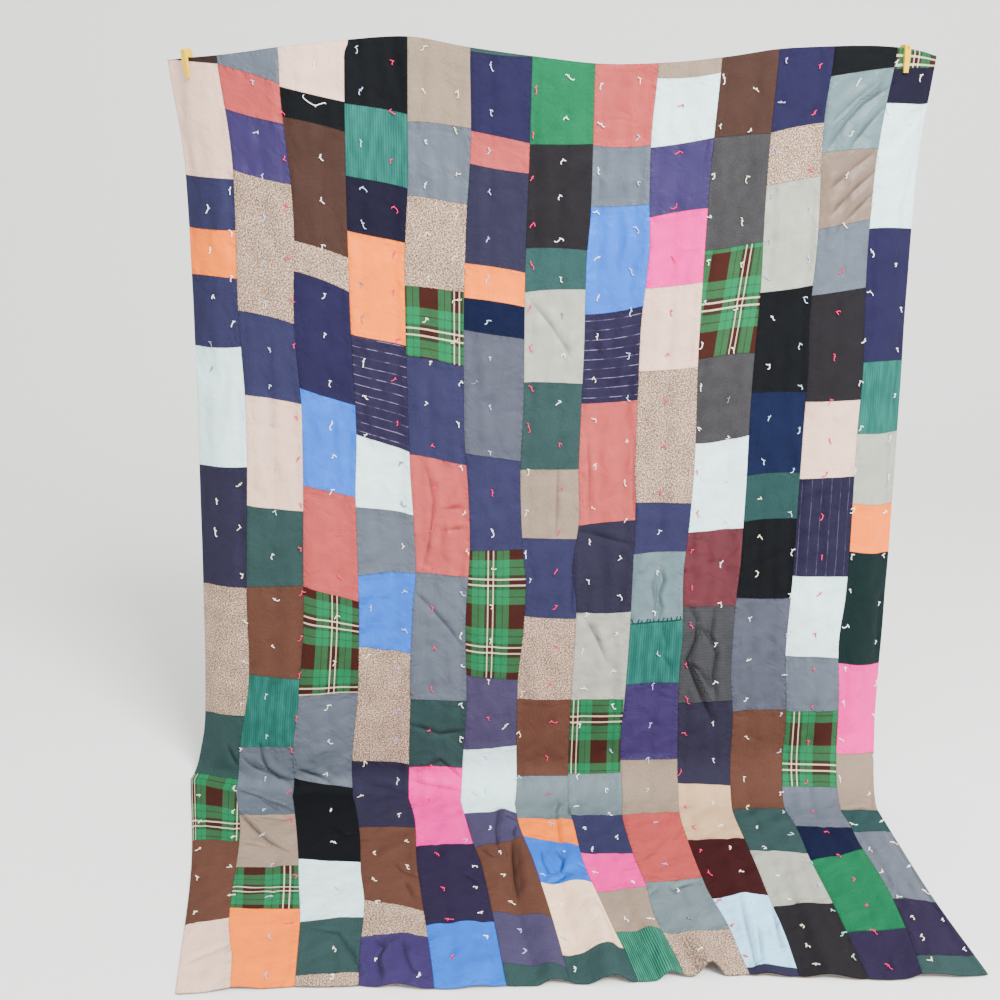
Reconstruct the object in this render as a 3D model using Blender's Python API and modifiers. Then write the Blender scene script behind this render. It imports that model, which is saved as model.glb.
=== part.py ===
"""Patchwork quilt of thirteen long strips, pegged up by its two top corners.

Most of the quilt hangs almost flat. Its foot bends forward and lies rippled on the
ground. The model is in metres with +Z up. Its origin is on the ground, at the middle
of its box. The quilt's front faces -Y.
"""

import math

import bmesh
import bpy
import numpy as np
from mathutils import Matrix, Vector

# ------------------------------------------------------------------ driving sizes
COLLECTION = "patchwork_quilt"
CUTTERS = "patchwork_quilt_cutters"

STRIP_COUNT = 13
BACK_HALF = 0.0025          # middle of the cloth to its back face
FRONT_AT_SEAM = 0.0010      # middle of the cloth to its front face, in a seam
FRONT_AT_PUFF = 0.0035      # the same, halfway between two seams
FRONT_PLANE_Y = 0.343       # the plane in which the flat middle of the quilt hangs
CENTRING = (0.00146, -0.00262, 0.0)     # moves the middle of the quilt's box over the origin

CELLS_PER_STRIP = (4, 4, 4, 4, 4, 6, 6, 6, 6, 6, 4, 4, 4)   # more where the hem ripples
HANG_ROWS = 24
BEND_ROWS = 7
FLOOR_ROWS = 15
TANGENT_STEP = 0.004        # spacing down the cloth, used to find which way it faces
TANGENT_STRIP = 0.05        # the same across it, in strips
EDGE_PUFF = 0.5             # least fullness of the cloth near the quilt's side edges
PUFF_POWER = 0.7            # below 1, the cloth is full over more of a strip's width
HIGH = 1.45                 # height at which x_high is measured
LOW = 0.50                  # height at which x_low is measured
KNEE = 0.15                 # height at which x_knee is measured
LANDING = 0.10              # length of cloth over which the ground ripples begin

# The fourteen long edges of the strips, from the left edge of the quilt to the right.
# x_top, x_high, x_low, x_knee, x_foot, x_floor, x_hem: place across, at the top edge,
#   at the three heights above, where the cloth reaches the ground, halfway along the
#   ground and at the hem. top_z: height of the top edge. back: how far the hanging
#   cloth lies behind the front plane. bend: radius of the bend. hem_y: place of the hem.
SEAM_COLUMNS = ("x_top", "x_high", "x_low", "x_knee", "x_foot", "x_floor", "x_hem",
                "top_z", "back", "bend", "hem_y")
SEAMS = (
    (-0.806, -0.782, -0.806, -0.825, -0.861, -0.757, -0.683, 1.701, 0.085, 0.040, -0.425),
    (-0.678, -0.665, -0.687, -0.711, -0.731, -0.657, -0.588, 1.705, 0.020, 0.038, -0.412),
    (-0.546, -0.537, -0.549, -0.580, -0.588, -0.514, -0.471, 1.718, 0.000, 0.040, -0.405),
    (-0.415, -0.415, -0.419, -0.438, -0.442, -0.385, -0.348, 1.732, 0.000, 0.048, -0.403),
    (-0.283, -0.287, -0.288, -0.305, -0.307, -0.253, -0.209, 1.740, 0.000, 0.054, -0.411),
    (-0.148, -0.155, -0.165, -0.172, -0.178, -0.121, -0.078, 1.717, 0.000, 0.064, -0.403),
    (-0.021, -0.025, -0.031, -0.045, -0.052, 0.000, 0.039, 1.701, 0.000, 0.078, -0.397),
    (0.114, 0.110, 0.091, 0.082, 0.077, 0.110, 0.158, 1.687, 0.000, 0.092, -0.391),
    (0.246, 0.239, 0.222, 0.208, 0.205, 0.214, 0.255, 1.687, 0.000, 0.102, -0.377),
    (0.375, 0.364, 0.346, 0.345, 0.339, 0.350, 0.377, 1.697, 0.000, 0.108, -0.371),
    (0.499, 0.487, 0.474, 0.476, 0.467, 0.477, 0.471, 1.715, 0.000, 0.111, -0.377),
    (0.613, 0.606, 0.600, 0.601, 0.594, 0.601, 0.602, 1.721, 0.005, 0.118, -0.384),
    (0.744, 0.727, 0.736, 0.743, 0.719, 0.735, 0.705, 1.722, 0.030, 0.150, -0.380),
    (0.857, 0.835, 0.849, 0.850, 0.812, 0.815, 0.834, 1.710, 0.085, 0.190, -0.371),
)

# Soft upright folds in the hanging cloth. u: place across, counted in strips.
# half: half width in strips. depth: how far the cloth comes forward.
HANG_FOLD_COLUMNS = ("u", "half", "depth")
HANG_FOLDS = (
    (0.55, 0.45, 0.006),
    (2.10, 0.80, 0.009),
    (3.70, 0.70, -0.008),
    (5.20, 0.80, 0.008),
    (7.30, 0.90, -0.010),
    (9.00, 0.70, 0.008),
    (10.60, 0.80, -0.008),
    (12.45, 0.50, 0.010),
)

# Ripples in the cloth on the ground. rise: height at the hem. reach: how far back
# from the hem the ripple runs before it dies out.
FLOOR_FOLD_COLUMNS = ("u", "half", "rise", "reach")
FLOOR_FOLDS = (
    (1.10, 0.55, 0.005, 0.30),
    (3.55, 0.40, 0.010, 0.32),
    (4.60, 0.45, 0.006, 0.40),
    (5.82, 0.34, 0.014, 0.52),
    (6.70, 0.42, 0.020, 0.62),
    (7.82, 0.34, 0.016, 0.42),
    (8.45, 0.26, 0.034, 0.16),
    (9.50, 0.42, 0.006, 0.48),
    (10.50, 0.45, 0.010, 0.40),
    (12.15, 0.55, 0.009, 0.42),
)

# One-piece pegs, slipped over the top edge. u: place across in strips. grip: how far
# the tips reach down the cloth. length: tip to head. tilt: turn of the head, degrees.
PEG_COLUMNS = ("name", "u", "grip", "length", "tilt")
PEGS = (
    ("peg_left", 0.465, 0.041, 0.060, -1.0),
    ("peg_right", 12.27, 0.049, 0.057, 6.5),
)
PEG_HEAD_WIDTH = 0.0135
PEG_TIP_WIDTH = 0.0105
PEG_HEAD_DEPTH = 0.0070     # thickness of a leg at the head
PEG_TIP_DEPTH = 0.0045      # thickness of a leg at its tip
PEG_ROUNDING = 0.0010
PEG_CLEARANCE = 0.0004      # between the peg and the cloth it grips
PEG_CROWN = 0.0040          # height of the round top of the head
WIDEST = 0.6                # share of a leg's height at which it is thickest
FULL_WIDTH = 0.7            # share of the peg's length at which it is widest
RAY_START = 0.05            # how far off the cloth its distance is measured from
RAY_SPREAD = 1.1            # width measured, in widths of the peg's head
RAY_BELOW = 0.002           # how far below the tips the cloth is measured
SLOT_WIDTH = 0.0022
SLOT_HEIGHT = 0.0060
SLOT_DROP = 0.0075          # head of the peg to the middle of its slot
SLOT_REACH = 0.06           # length of the cutter, right through the head


# ------------------------------------------------------------------ path of the cloth
def seam_value(column, u):
    """One column of SEAMS at strip coordinates u, on a smooth curve through the seams."""
    values = np.array([row[SEAM_COLUMNS.index(column)] for row in SEAMS])
    first = np.clip(np.floor(u).astype(int), 0, STRIP_COUNT - 1)
    t = u - first
    before = values[np.clip(first - 1, 0, STRIP_COUNT)]
    start = values[first]
    end = values[first + 1]
    after = values[np.clip(first + 2, 0, STRIP_COUNT)]
    bend = 2 * before - 5 * start + 4 * end - after
    twist = 3 * start - before - 3 * end + after
    return start + 0.5 * t * (end - before + t * (bend + t * twist))


def bump(offset, half):
    """A smooth hump, 1 at offset 0 and 0 from half outwards."""
    near = np.clip(np.abs(offset) / half, 0, 1)
    return 0.5 + 0.5 * np.cos(math.pi * near)


def rows_of(table, columns):
    """The rows of a table, each as a dictionary of its named columns."""
    return [dict(zip(columns, row)) for row in table]


def zone_lengths(u):
    """Lengths of cloth that hang, bend and lie on the ground, at strip coordinate u."""
    bend = seam_value("bend", u)
    hang = seam_value("top_z", u) - BACK_HALF - bend
    foot_y = FRONT_PLANE_Y + seam_value("back", u) - bend
    return hang, 0.5 * math.pi * bend, foot_y - seam_value("hem_y", u)


def smooth_path(knots, values, s):
    """A curve through values at rising knots that never swings past them, read at s."""
    last = len(knots) - 1
    slopes = [(values[i + 1] - values[i]) / (knots[i + 1] - knots[i]) for i in range(last)]
    tangents = [slopes[0]]
    for before, after in zip(slopes, slopes[1:]):
        level = before * after <= 0
        total = np.where(level, 1, before + after)
        tangents.append(np.where(level, 0, 2 * before * after / total))
    tangents.append(slopes[-1])
    result = values[0] + tangents[0] * (s - knots[0])
    for i in range(last):
        span = knots[i + 1] - knots[i]
        t = (s - knots[i]) / span
        piece = ((1 + 2 * t) * (1 - t) ** 2 * values[i] + t * (1 - t) ** 2 * span * tangents[i]
                 + t * t * (3 - 2 * t) * values[i + 1] - t * t * (1 - t) * span * tangents[i + 1])
        result = np.where(t >= 0, piece, result)
    past_hem = values[last] + tangents[last] * (s - knots[last])
    return np.where(s > knots[last], past_hem, result)


def cloth_middle(u, s):
    """Middle of the cloth, s metres of cloth below the top edge. Arrays of one shape."""
    hang, arc, floor = zone_lengths(u)
    bend = seam_value("bend", u)
    rest = s - hang
    turned = np.clip(rest / bend, 0, 0.5 * math.pi)
    on_floor = np.maximum(rest - arc, 0)

    y = FRONT_PLANE_Y + seam_value("back", u) - bend * (1 - np.cos(turned)) - on_floor
    z = BACK_HALF + bend * (1 - np.sin(turned)) + np.maximum(-rest, 0)

    top = seam_value("top_z", u)
    foot = hang + arc
    across = [seam_value(column, u) for column in SEAM_COLUMNS[:7]]
    above = smooth_path((np.zeros_like(s), top - HIGH, top - LOW, top - KNEE, foot), across[:5], s)
    ahead = smooth_path((foot, foot + floor / 2, foot + floor), across[4:], s)
    x = np.where(s < foot, above, ahead)

    hanging = np.clip(1 - (rest + arc) / (2 * arc), 0, 1)
    for fold in rows_of(HANG_FOLDS, HANG_FOLD_COLUMNS):
        y = y - fold["depth"] * bump(u - fold["u"], fold["half"]) * hanging
    to_hem = np.maximum(floor - on_floor, 0)
    lying = np.clip(on_floor / LANDING, 0, 1)
    for fold in rows_of(FLOOR_FOLDS, FLOOR_FOLD_COLUMNS):
        along = 1 - np.clip(to_hem / fold["reach"], 0, 1)
        swell = along * along * (3 - 2 * along)
        z = z + fold["rise"] * bump(u - fold["u"], fold["half"]) * swell * lying
    return np.stack([x, y, z], axis=-1) + np.array(CENTRING)


def cloth_frame(u, s):
    """Middle of the cloth, the way it faces and the way it runs down, at u and s."""
    middle = cloth_middle(u, s)
    # One step inside the quilt's side edges keeps the difference on the cloth.
    near = np.clip(u, TANGENT_STRIP, STRIP_COUNT - TANGENT_STRIP)
    across = cloth_middle(near + TANGENT_STRIP, s) - cloth_middle(near - TANGENT_STRIP, s)
    down = cloth_middle(u, s + TANGENT_STEP) - cloth_middle(u, s - TANGENT_STEP)
    face = np.cross(down, across)
    face /= np.linalg.norm(face, axis=-1, keepdims=True)
    down /= np.linalg.norm(down, axis=-1, keepdims=True)
    return middle, face, down


def front_half(u):
    """Middle of the cloth to its front face: thin in the seams, full between them."""
    puff = np.abs(np.sin(math.pi * u))
    puff = np.where((u < 0.5) | (u > STRIP_COUNT - 0.5), np.maximum(puff, EDGE_PUFF), puff)
    return FRONT_AT_SEAM + (FRONT_AT_PUFF - FRONT_AT_SEAM) * puff ** PUFF_POWER


# ------------------------------------------------------------------ making the objects
def clear_scene():
    for item in list(bpy.data.objects):
        bpy.data.objects.remove(item, do_unlink=True)


def new_collection(name):
    collection = bpy.data.collections.new(name)
    bpy.context.scene.collection.children.link(collection)
    return collection


def new_material(name, colour, roughness):
    material = bpy.data.materials.new(name)
    material.use_nodes = True
    shader = material.node_tree.nodes["Principled BSDF"]
    shader.inputs["Base Color"].default_value = (*colour, 1.0)
    shader.inputs["Roughness"].default_value = roughness
    shader.inputs["Metallic"].default_value = 0.0
    return material


def grid_of_cloth():
    """Strip coordinates and lengths of cloth at the corners of the quilt's cells."""
    across = [strip + cell / cells for strip, cells in enumerate(CELLS_PER_STRIP)
              for cell in range(cells)] + [STRIP_COUNT]
    u = np.array(across, dtype=float)
    hang, arc, floor = zone_lengths(u)
    rows = [hang * i / HANG_ROWS for i in range(HANG_ROWS)]
    rows += [hang + arc * i / BEND_ROWS for i in range(BEND_ROWS)]
    rows += [hang + arc + floor * i / FLOOR_ROWS for i in range(FLOOR_ROWS + 1)]
    s = np.stack(rows)
    return np.broadcast_to(u, s.shape), s


def quilt(collection):
    """The whole quilt as one closed sheet: a grid, laid on the cloth's two faces."""
    u, s = grid_of_cloth()
    rows, columns = s.shape
    middle, face, _ = cloth_frame(u, s)
    front = middle + face * front_half(u)[..., None]
    back = middle - face * BACK_HALF
    # The cloth never dips below the ground it lies on.
    back[..., 2] = np.maximum(back[..., 2], 0.0)

    mesh = bmesh.new()
    bmesh.ops.create_grid(mesh, x_segments=columns - 1, y_segments=rows - 1, size=0.5)
    mesh.verts.ensure_lookup_table()
    grid = list(mesh.verts)
    copy = bmesh.ops.duplicate(mesh, geom=mesh.verts[:] + mesh.edges[:] + mesh.faces[:])
    twin = {vert: copy["vert_map"][vert] for vert in grid}
    bmesh.ops.reverse_faces(mesh, faces=[f for f in copy["geom"] if isinstance(f, bmesh.types.BMFace)])
    for vert in grid:
        column = round((vert.co.x + 0.5) * (columns - 1))
        row = round((0.5 - vert.co.y) * (rows - 1))
        twin[vert].co = Vector(back[row, column])
        vert.co = Vector(front[row, column])
    rims = [edge for edge in mesh.edges if edge.is_boundary]
    bmesh.ops.bridge_loops(mesh, edges=rims)
    bmesh.ops.recalc_face_normals(mesh, faces=mesh.faces[:])
    return finish_object(mesh, "quilt", collection, new_material("quilted_wool", (0.20, 0.22, 0.30), 0.9))


def finish_object(mesh, name, collection, material):
    data = bpy.data.meshes.new(name)
    mesh.to_mesh(data)
    mesh.free()
    item = bpy.data.objects.new(name, data)
    item.data.materials.append(material)
    collection.objects.link(item)
    item.data.shade_smooth()
    item.data.set_sharp_from_angle(angle=math.radians(40))
    return item


# ------------------------------------------------------------------ pegs
def peg_place(peg):
    """Matrix of a peg: its origin at the cloth below its tip, Y outwards, Z up the cloth."""
    u = np.array([peg["u"]])
    top, face, down = (Vector(a[0]) for a in cloth_frame(u, np.array([peg["grip"] / 2])))
    up = (-down).normalized()
    side = face.cross(up).normalized()
    matrix = Matrix((side, face, up)).transposed().to_4x4()
    matrix.translation = top - up * (peg["grip"] / 2)
    return matrix @ Matrix.Rotation(math.radians(peg["tilt"]), 4, "Y")


def reach_of_cloth(cloth, matrix, starts, direction):
    """How far the cloth reaches towards rays sent along one axis of a peg."""
    axis = next(i for i in range(3) if direction[i])
    inverse = matrix.inverted()
    ray = (matrix.to_3x3() @ Vector(direction)).normalized()
    hits = [cloth.ray_cast(matrix @ Vector(start), ray) for start in starts]
    places = [(inverse @ place)[axis] for met, place, _, _ in hits if met]
    return min(places) if direction[axis] > 0 else max(places)


def cloth_in_grip(peg, matrix, cloth):
    """How far the cloth in the peg's grip reaches to the front, to the back and up."""
    half = RAY_SPREAD * PEG_HEAD_WIDTH / 2
    widths = np.linspace(-half, half, 11)
    heights = np.linspace(-RAY_BELOW, peg["grip"] - RAY_BELOW, 25)
    places = [(x, z) for x in widths for z in heights]
    ahead = reach_of_cloth(cloth, matrix, [(x, RAY_START, z) for x, z in places], (0, -1, 0))
    behind = reach_of_cloth(cloth, matrix, [(x, -RAY_START, z) for x, z in places], (0, 1, 0))
    above = 2 * peg["length"]
    depths = np.linspace(behind, ahead, 9)
    highest = reach_of_cloth(cloth, matrix, [(x, y, above) for x in widths for y in depths], (0, 0, -1))
    return ahead, behind, highest


def peg_outline(peg, ahead, behind, highest):
    """Side view of a peg, depth and height: two legs joined by a round head."""
    front = ahead + PEG_CLEARANCE
    rear = behind - PEG_CLEARANCE
    crown = highest + PEG_CLEARANCE
    shoulder = peg["length"] - PEG_CROWN
    points = [(front, crown), (front, 0.0), (front + PEG_TIP_DEPTH, 0.0),
              (front + PEG_HEAD_DEPTH, WIDEST * shoulder), (front + PEG_HEAD_DEPTH, shoulder)]
    middle = 0.5 * (front + rear)
    reach = 0.5 * (front - rear) + PEG_HEAD_DEPTH
    for step in range(1, 8):
        angle = math.pi * step / 8
        points.append((middle + reach * math.cos(angle), shoulder + PEG_CROWN * math.sin(angle)))
    points += [(rear - PEG_HEAD_DEPTH, shoulder), (rear - PEG_HEAD_DEPTH, WIDEST * shoulder),
               (rear - PEG_TIP_DEPTH, 0.0), (rear, 0.0), (rear, crown)]
    return points


def outline_mesh(name, points, half_width):
    """A flat outline as a filled curve, given its width, and turned into a mesh."""
    curve = bpy.data.curves.new(name + "_outline", "CURVE")
    curve.dimensions = "2D"
    curve.fill_mode = "BOTH"
    curve.extrude = half_width
    spline = curve.splines.new("POLY")
    spline.points.add(len(points) - 1)
    for point, (depth, height) in zip(spline.points, points):
        point.co = (depth, height, 0.0, 1.0)
    spline.use_cyclic_u = True
    item = bpy.data.objects.new(name + "_outline", curve)
    bpy.context.scene.collection.objects.link(item)
    bpy.context.view_layer.update()
    evaluated = item.evaluated_get(bpy.context.evaluated_depsgraph_get())
    data = bpy.data.meshes.new_from_object(evaluated)
    bpy.data.objects.remove(item, do_unlink=True)
    mesh = bmesh.new()
    mesh.from_mesh(data)
    bpy.data.meshes.remove(data)
    bmesh.ops.remove_doubles(mesh, verts=mesh.verts[:], dist=0.00001)
    return mesh


def peg(row, cloth, collection, cutters, material):
    """One peg of moulded plastic, tapering from its head to its two tips."""
    matrix = peg_place(row)
    outline = peg_outline(row, *cloth_in_grip(row, matrix, cloth))
    mesh = outline_mesh(row["name"], outline, PEG_HEAD_WIDTH / 2)
    for vert in mesh.verts:
        depth, height, side = vert.co
        share = min(height / (FULL_WIDTH * row["length"]), 1)
        taper = PEG_TIP_WIDTH + (PEG_HEAD_WIDTH - PEG_TIP_WIDTH) * share
        vert.co = (side * taper / PEG_HEAD_WIDTH, depth, height)
    bmesh.ops.recalc_face_normals(mesh, faces=mesh.faces[:])
    item = finish_object(mesh, row["name"], collection, material)
    item.matrix_world = matrix
    bevel = item.modifiers.new("rounded edges", "BEVEL")
    bevel.width = PEG_ROUNDING
    bevel.segments = 2
    bevel.limit_method = "ANGLE"
    bevel.angle_limit = math.radians(40)
    cut = item.modifiers.new("slot", "BOOLEAN")
    cut.operation = "DIFFERENCE"
    cut.solver = "EXACT"
    cut.object = slot_cutter(row, matrix, cutters)
    return item


def slot_cutter(row, matrix, cutters):
    """The upright slot through a peg's head."""
    mesh = bmesh.new()
    bmesh.ops.create_cube(mesh, size=1.0)
    bmesh.ops.scale(mesh, vec=(SLOT_WIDTH, SLOT_REACH, SLOT_HEIGHT), verts=mesh.verts[:])
    data = bpy.data.meshes.new(row["name"] + "_slot")
    mesh.to_mesh(data)
    mesh.free()
    item = bpy.data.objects.new(row["name"] + "_slot", data)
    cutters.objects.link(item)
    item.matrix_world = matrix @ Matrix.Translation((0.0, 0.0, row["length"] - SLOT_DROP))
    item.hide_render = True
    item.display_type = "WIRE"
    return item


def main():
    clear_scene()
    parts = new_collection(COLLECTION)
    cutters = new_collection(CUTTERS)
    cloth = quilt(parts)
    bpy.context.view_layer.update()
    plastic = new_material("moulded_yellow_plastic", (0.86, 0.62, 0.05), 0.4)
    for row in rows_of(PEGS, PEG_COLUMNS):
        peg(row, cloth, parts, cutters, plastic)


main()
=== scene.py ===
"""Patchwork quilt: thirteen long strips of patches on a plain backing, tied with yarn.

The quilt hangs by two pegs at its top corners, and its foot lies rippled on the ground.
Sizes are in metres unless a name or a comment says millimetres. +Z is up and the
quilt's front faces -Y.

Not everything here was designed by hand. The numbers in SEAMS, CUTTING_LIST, SEAM_STRAYS,
TIE_ROWS and CREASES, and many colours in FABRICS, were worked out by separate programs and
copied in, some of them changed since. MOUNDS and TARTAN_CROSSINGS probably came the same way.
"""

import math

import bmesh
import bpy
import numpy as np
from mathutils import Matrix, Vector


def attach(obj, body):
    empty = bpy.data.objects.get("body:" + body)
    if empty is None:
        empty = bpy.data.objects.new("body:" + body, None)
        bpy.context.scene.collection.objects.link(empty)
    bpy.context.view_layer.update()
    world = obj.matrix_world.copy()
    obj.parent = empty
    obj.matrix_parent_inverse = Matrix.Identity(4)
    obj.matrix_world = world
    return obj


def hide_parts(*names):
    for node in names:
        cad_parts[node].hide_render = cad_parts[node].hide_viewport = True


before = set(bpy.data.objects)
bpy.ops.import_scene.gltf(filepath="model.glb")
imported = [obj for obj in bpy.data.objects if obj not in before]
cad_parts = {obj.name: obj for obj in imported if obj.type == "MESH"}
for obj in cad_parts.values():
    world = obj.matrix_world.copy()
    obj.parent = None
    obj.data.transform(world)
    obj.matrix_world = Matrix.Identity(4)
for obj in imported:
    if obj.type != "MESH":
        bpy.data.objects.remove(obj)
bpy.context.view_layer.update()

bl_info = {
    "name": "Patchwork quilt",
    "version": (1, 0, 0),
    "blender": (4, 5, 0),
    "location": "3D View > Sidebar > Quilt",
    "description": "Sews, ties and pegs up a patchwork quilt of thirteen strips",
    "category": "Object",
}

MM = 0.001
QUARTER_TURN = 0.5 * math.pi
STRIPS = 13
STRIP_WIDTH = 0.129
QUILT_WIDTH = STRIPS * STRIP_WIDTH
CUT_LENGTH = 2.42           # length that each strip is sewn to, on average

# ------------------------------------------------------------------ path of the cloth
BACK_HALF = 0.0025          # middle of the cloth to its back face
FRONT_PLANE_Y = 0.343       # the plane in which the flat middle of the quilt hangs
CENTRING = (0.00146, -0.00262, 0.0)     # moves the middle of the quilt's box over the origin
HIGH = 1.45                 # height at which x_high is measured
LOW = 0.50                  # height at which x_low is measured
KNEE = 0.15                 # height at which x_knee is measured
TANGENT_STEP = 0.004        # spacing down the cloth, used to find which way it faces
TANGENT_STRIP = 0.05        # the same across it, in strips
LANDING = 0.10              # length of cloth over which the ground ripples begin

# The fourteen long edges of the strips, from the left edge of the quilt to the right.
# x_top, x_high, x_low, x_knee, x_foot, x_floor, x_hem: place across, at the top edge,
#   at the three heights above, where the cloth reaches the ground, halfway along the
#   ground and at the hem. top_z: height of the top edge. back: how far the hanging
#   cloth lies behind the front plane. bend: radius of the bend. hem_y: place of the hem.
# Worked out by a separate program and copied in. Many values were changed after that.
SEAM_COLUMNS = ("x_top", "x_high", "x_low", "x_knee", "x_foot", "x_floor", "x_hem",
                "top_z", "back", "bend", "hem_y")
SEAMS = (
    (-0.806, -0.782, -0.806, -0.825, -0.861, -0.757, -0.683, 1.701, 0.085, 0.040, -0.425),
    (-0.678, -0.665, -0.687, -0.711, -0.731, -0.657, -0.588, 1.705, 0.020, 0.038, -0.412),
    (-0.546, -0.537, -0.549, -0.580, -0.588, -0.514, -0.471, 1.718, 0.000, 0.040, -0.405),
    (-0.415, -0.415, -0.419, -0.438, -0.442, -0.385, -0.348, 1.732, 0.000, 0.048, -0.403),
    (-0.283, -0.287, -0.288, -0.305, -0.307, -0.253, -0.209, 1.740, 0.000, 0.054, -0.411),
    (-0.148, -0.155, -0.165, -0.172, -0.178, -0.121, -0.078, 1.717, 0.000, 0.064, -0.403),
    (-0.021, -0.025, -0.031, -0.045, -0.052, 0.000, 0.039, 1.701, 0.000, 0.078, -0.397),
    (0.114, 0.110, 0.091, 0.082, 0.077, 0.110, 0.158, 1.687, 0.000, 0.092, -0.391),
    (0.246, 0.239, 0.222, 0.208, 0.205, 0.214, 0.255, 1.687, 0.000, 0.102, -0.377),
    (0.375, 0.364, 0.346, 0.345, 0.339, 0.350, 0.377, 1.697, 0.000, 0.108, -0.371),
    (0.499, 0.487, 0.474, 0.476, 0.467, 0.477, 0.471, 1.715, 0.000, 0.111, -0.377),
    (0.613, 0.606, 0.600, 0.601, 0.594, 0.601, 0.602, 1.721, 0.005, 0.118, -0.384),
    (0.744, 0.727, 0.736, 0.743, 0.719, 0.735, 0.705, 1.722, 0.030, 0.150, -0.380),
    (0.857, 0.835, 0.849, 0.850, 0.812, 0.815, 0.834, 1.710, 0.085, 0.190, -0.371),
)

# Soft upright folds in the hanging cloth. u: place across, counted in strips.
# half: half width in strips. depth: how far the cloth comes forward.
HANG_FOLD_COLUMNS = ("u", "half", "depth")
HANG_FOLDS = (
    (0.55, 0.45, 0.006),
    (2.10, 0.80, 0.009),
    (3.70, 0.70, -0.008),
    (5.20, 0.80, 0.008),
    (7.30, 0.90, -0.010),
    (9.00, 0.70, 0.008),
    (10.60, 0.80, -0.008),
    (12.45, 0.50, 0.010),
)

# Ripples in the cloth on the ground. rise: height at the hem. reach: how far back
# from the hem the ripple runs before it dies out.
FLOOR_FOLD_COLUMNS = ("u", "half", "rise", "reach")
FLOOR_FOLDS = (
    (1.10, 0.55, 0.005, 0.30),
    (3.55, 0.40, 0.010, 0.32),
    (4.60, 0.45, 0.006, 0.40),
    (5.82, 0.34, 0.014, 0.52),
    (6.70, 0.42, 0.020, 0.62),
    (7.82, 0.34, 0.016, 0.42),
    (8.45, 0.26, 0.034, 0.16),
    (9.50, 0.42, 0.006, 0.48),
    (10.50, 0.45, 0.010, 0.40),
    (12.15, 0.55, 0.009, 0.42),
)

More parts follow.
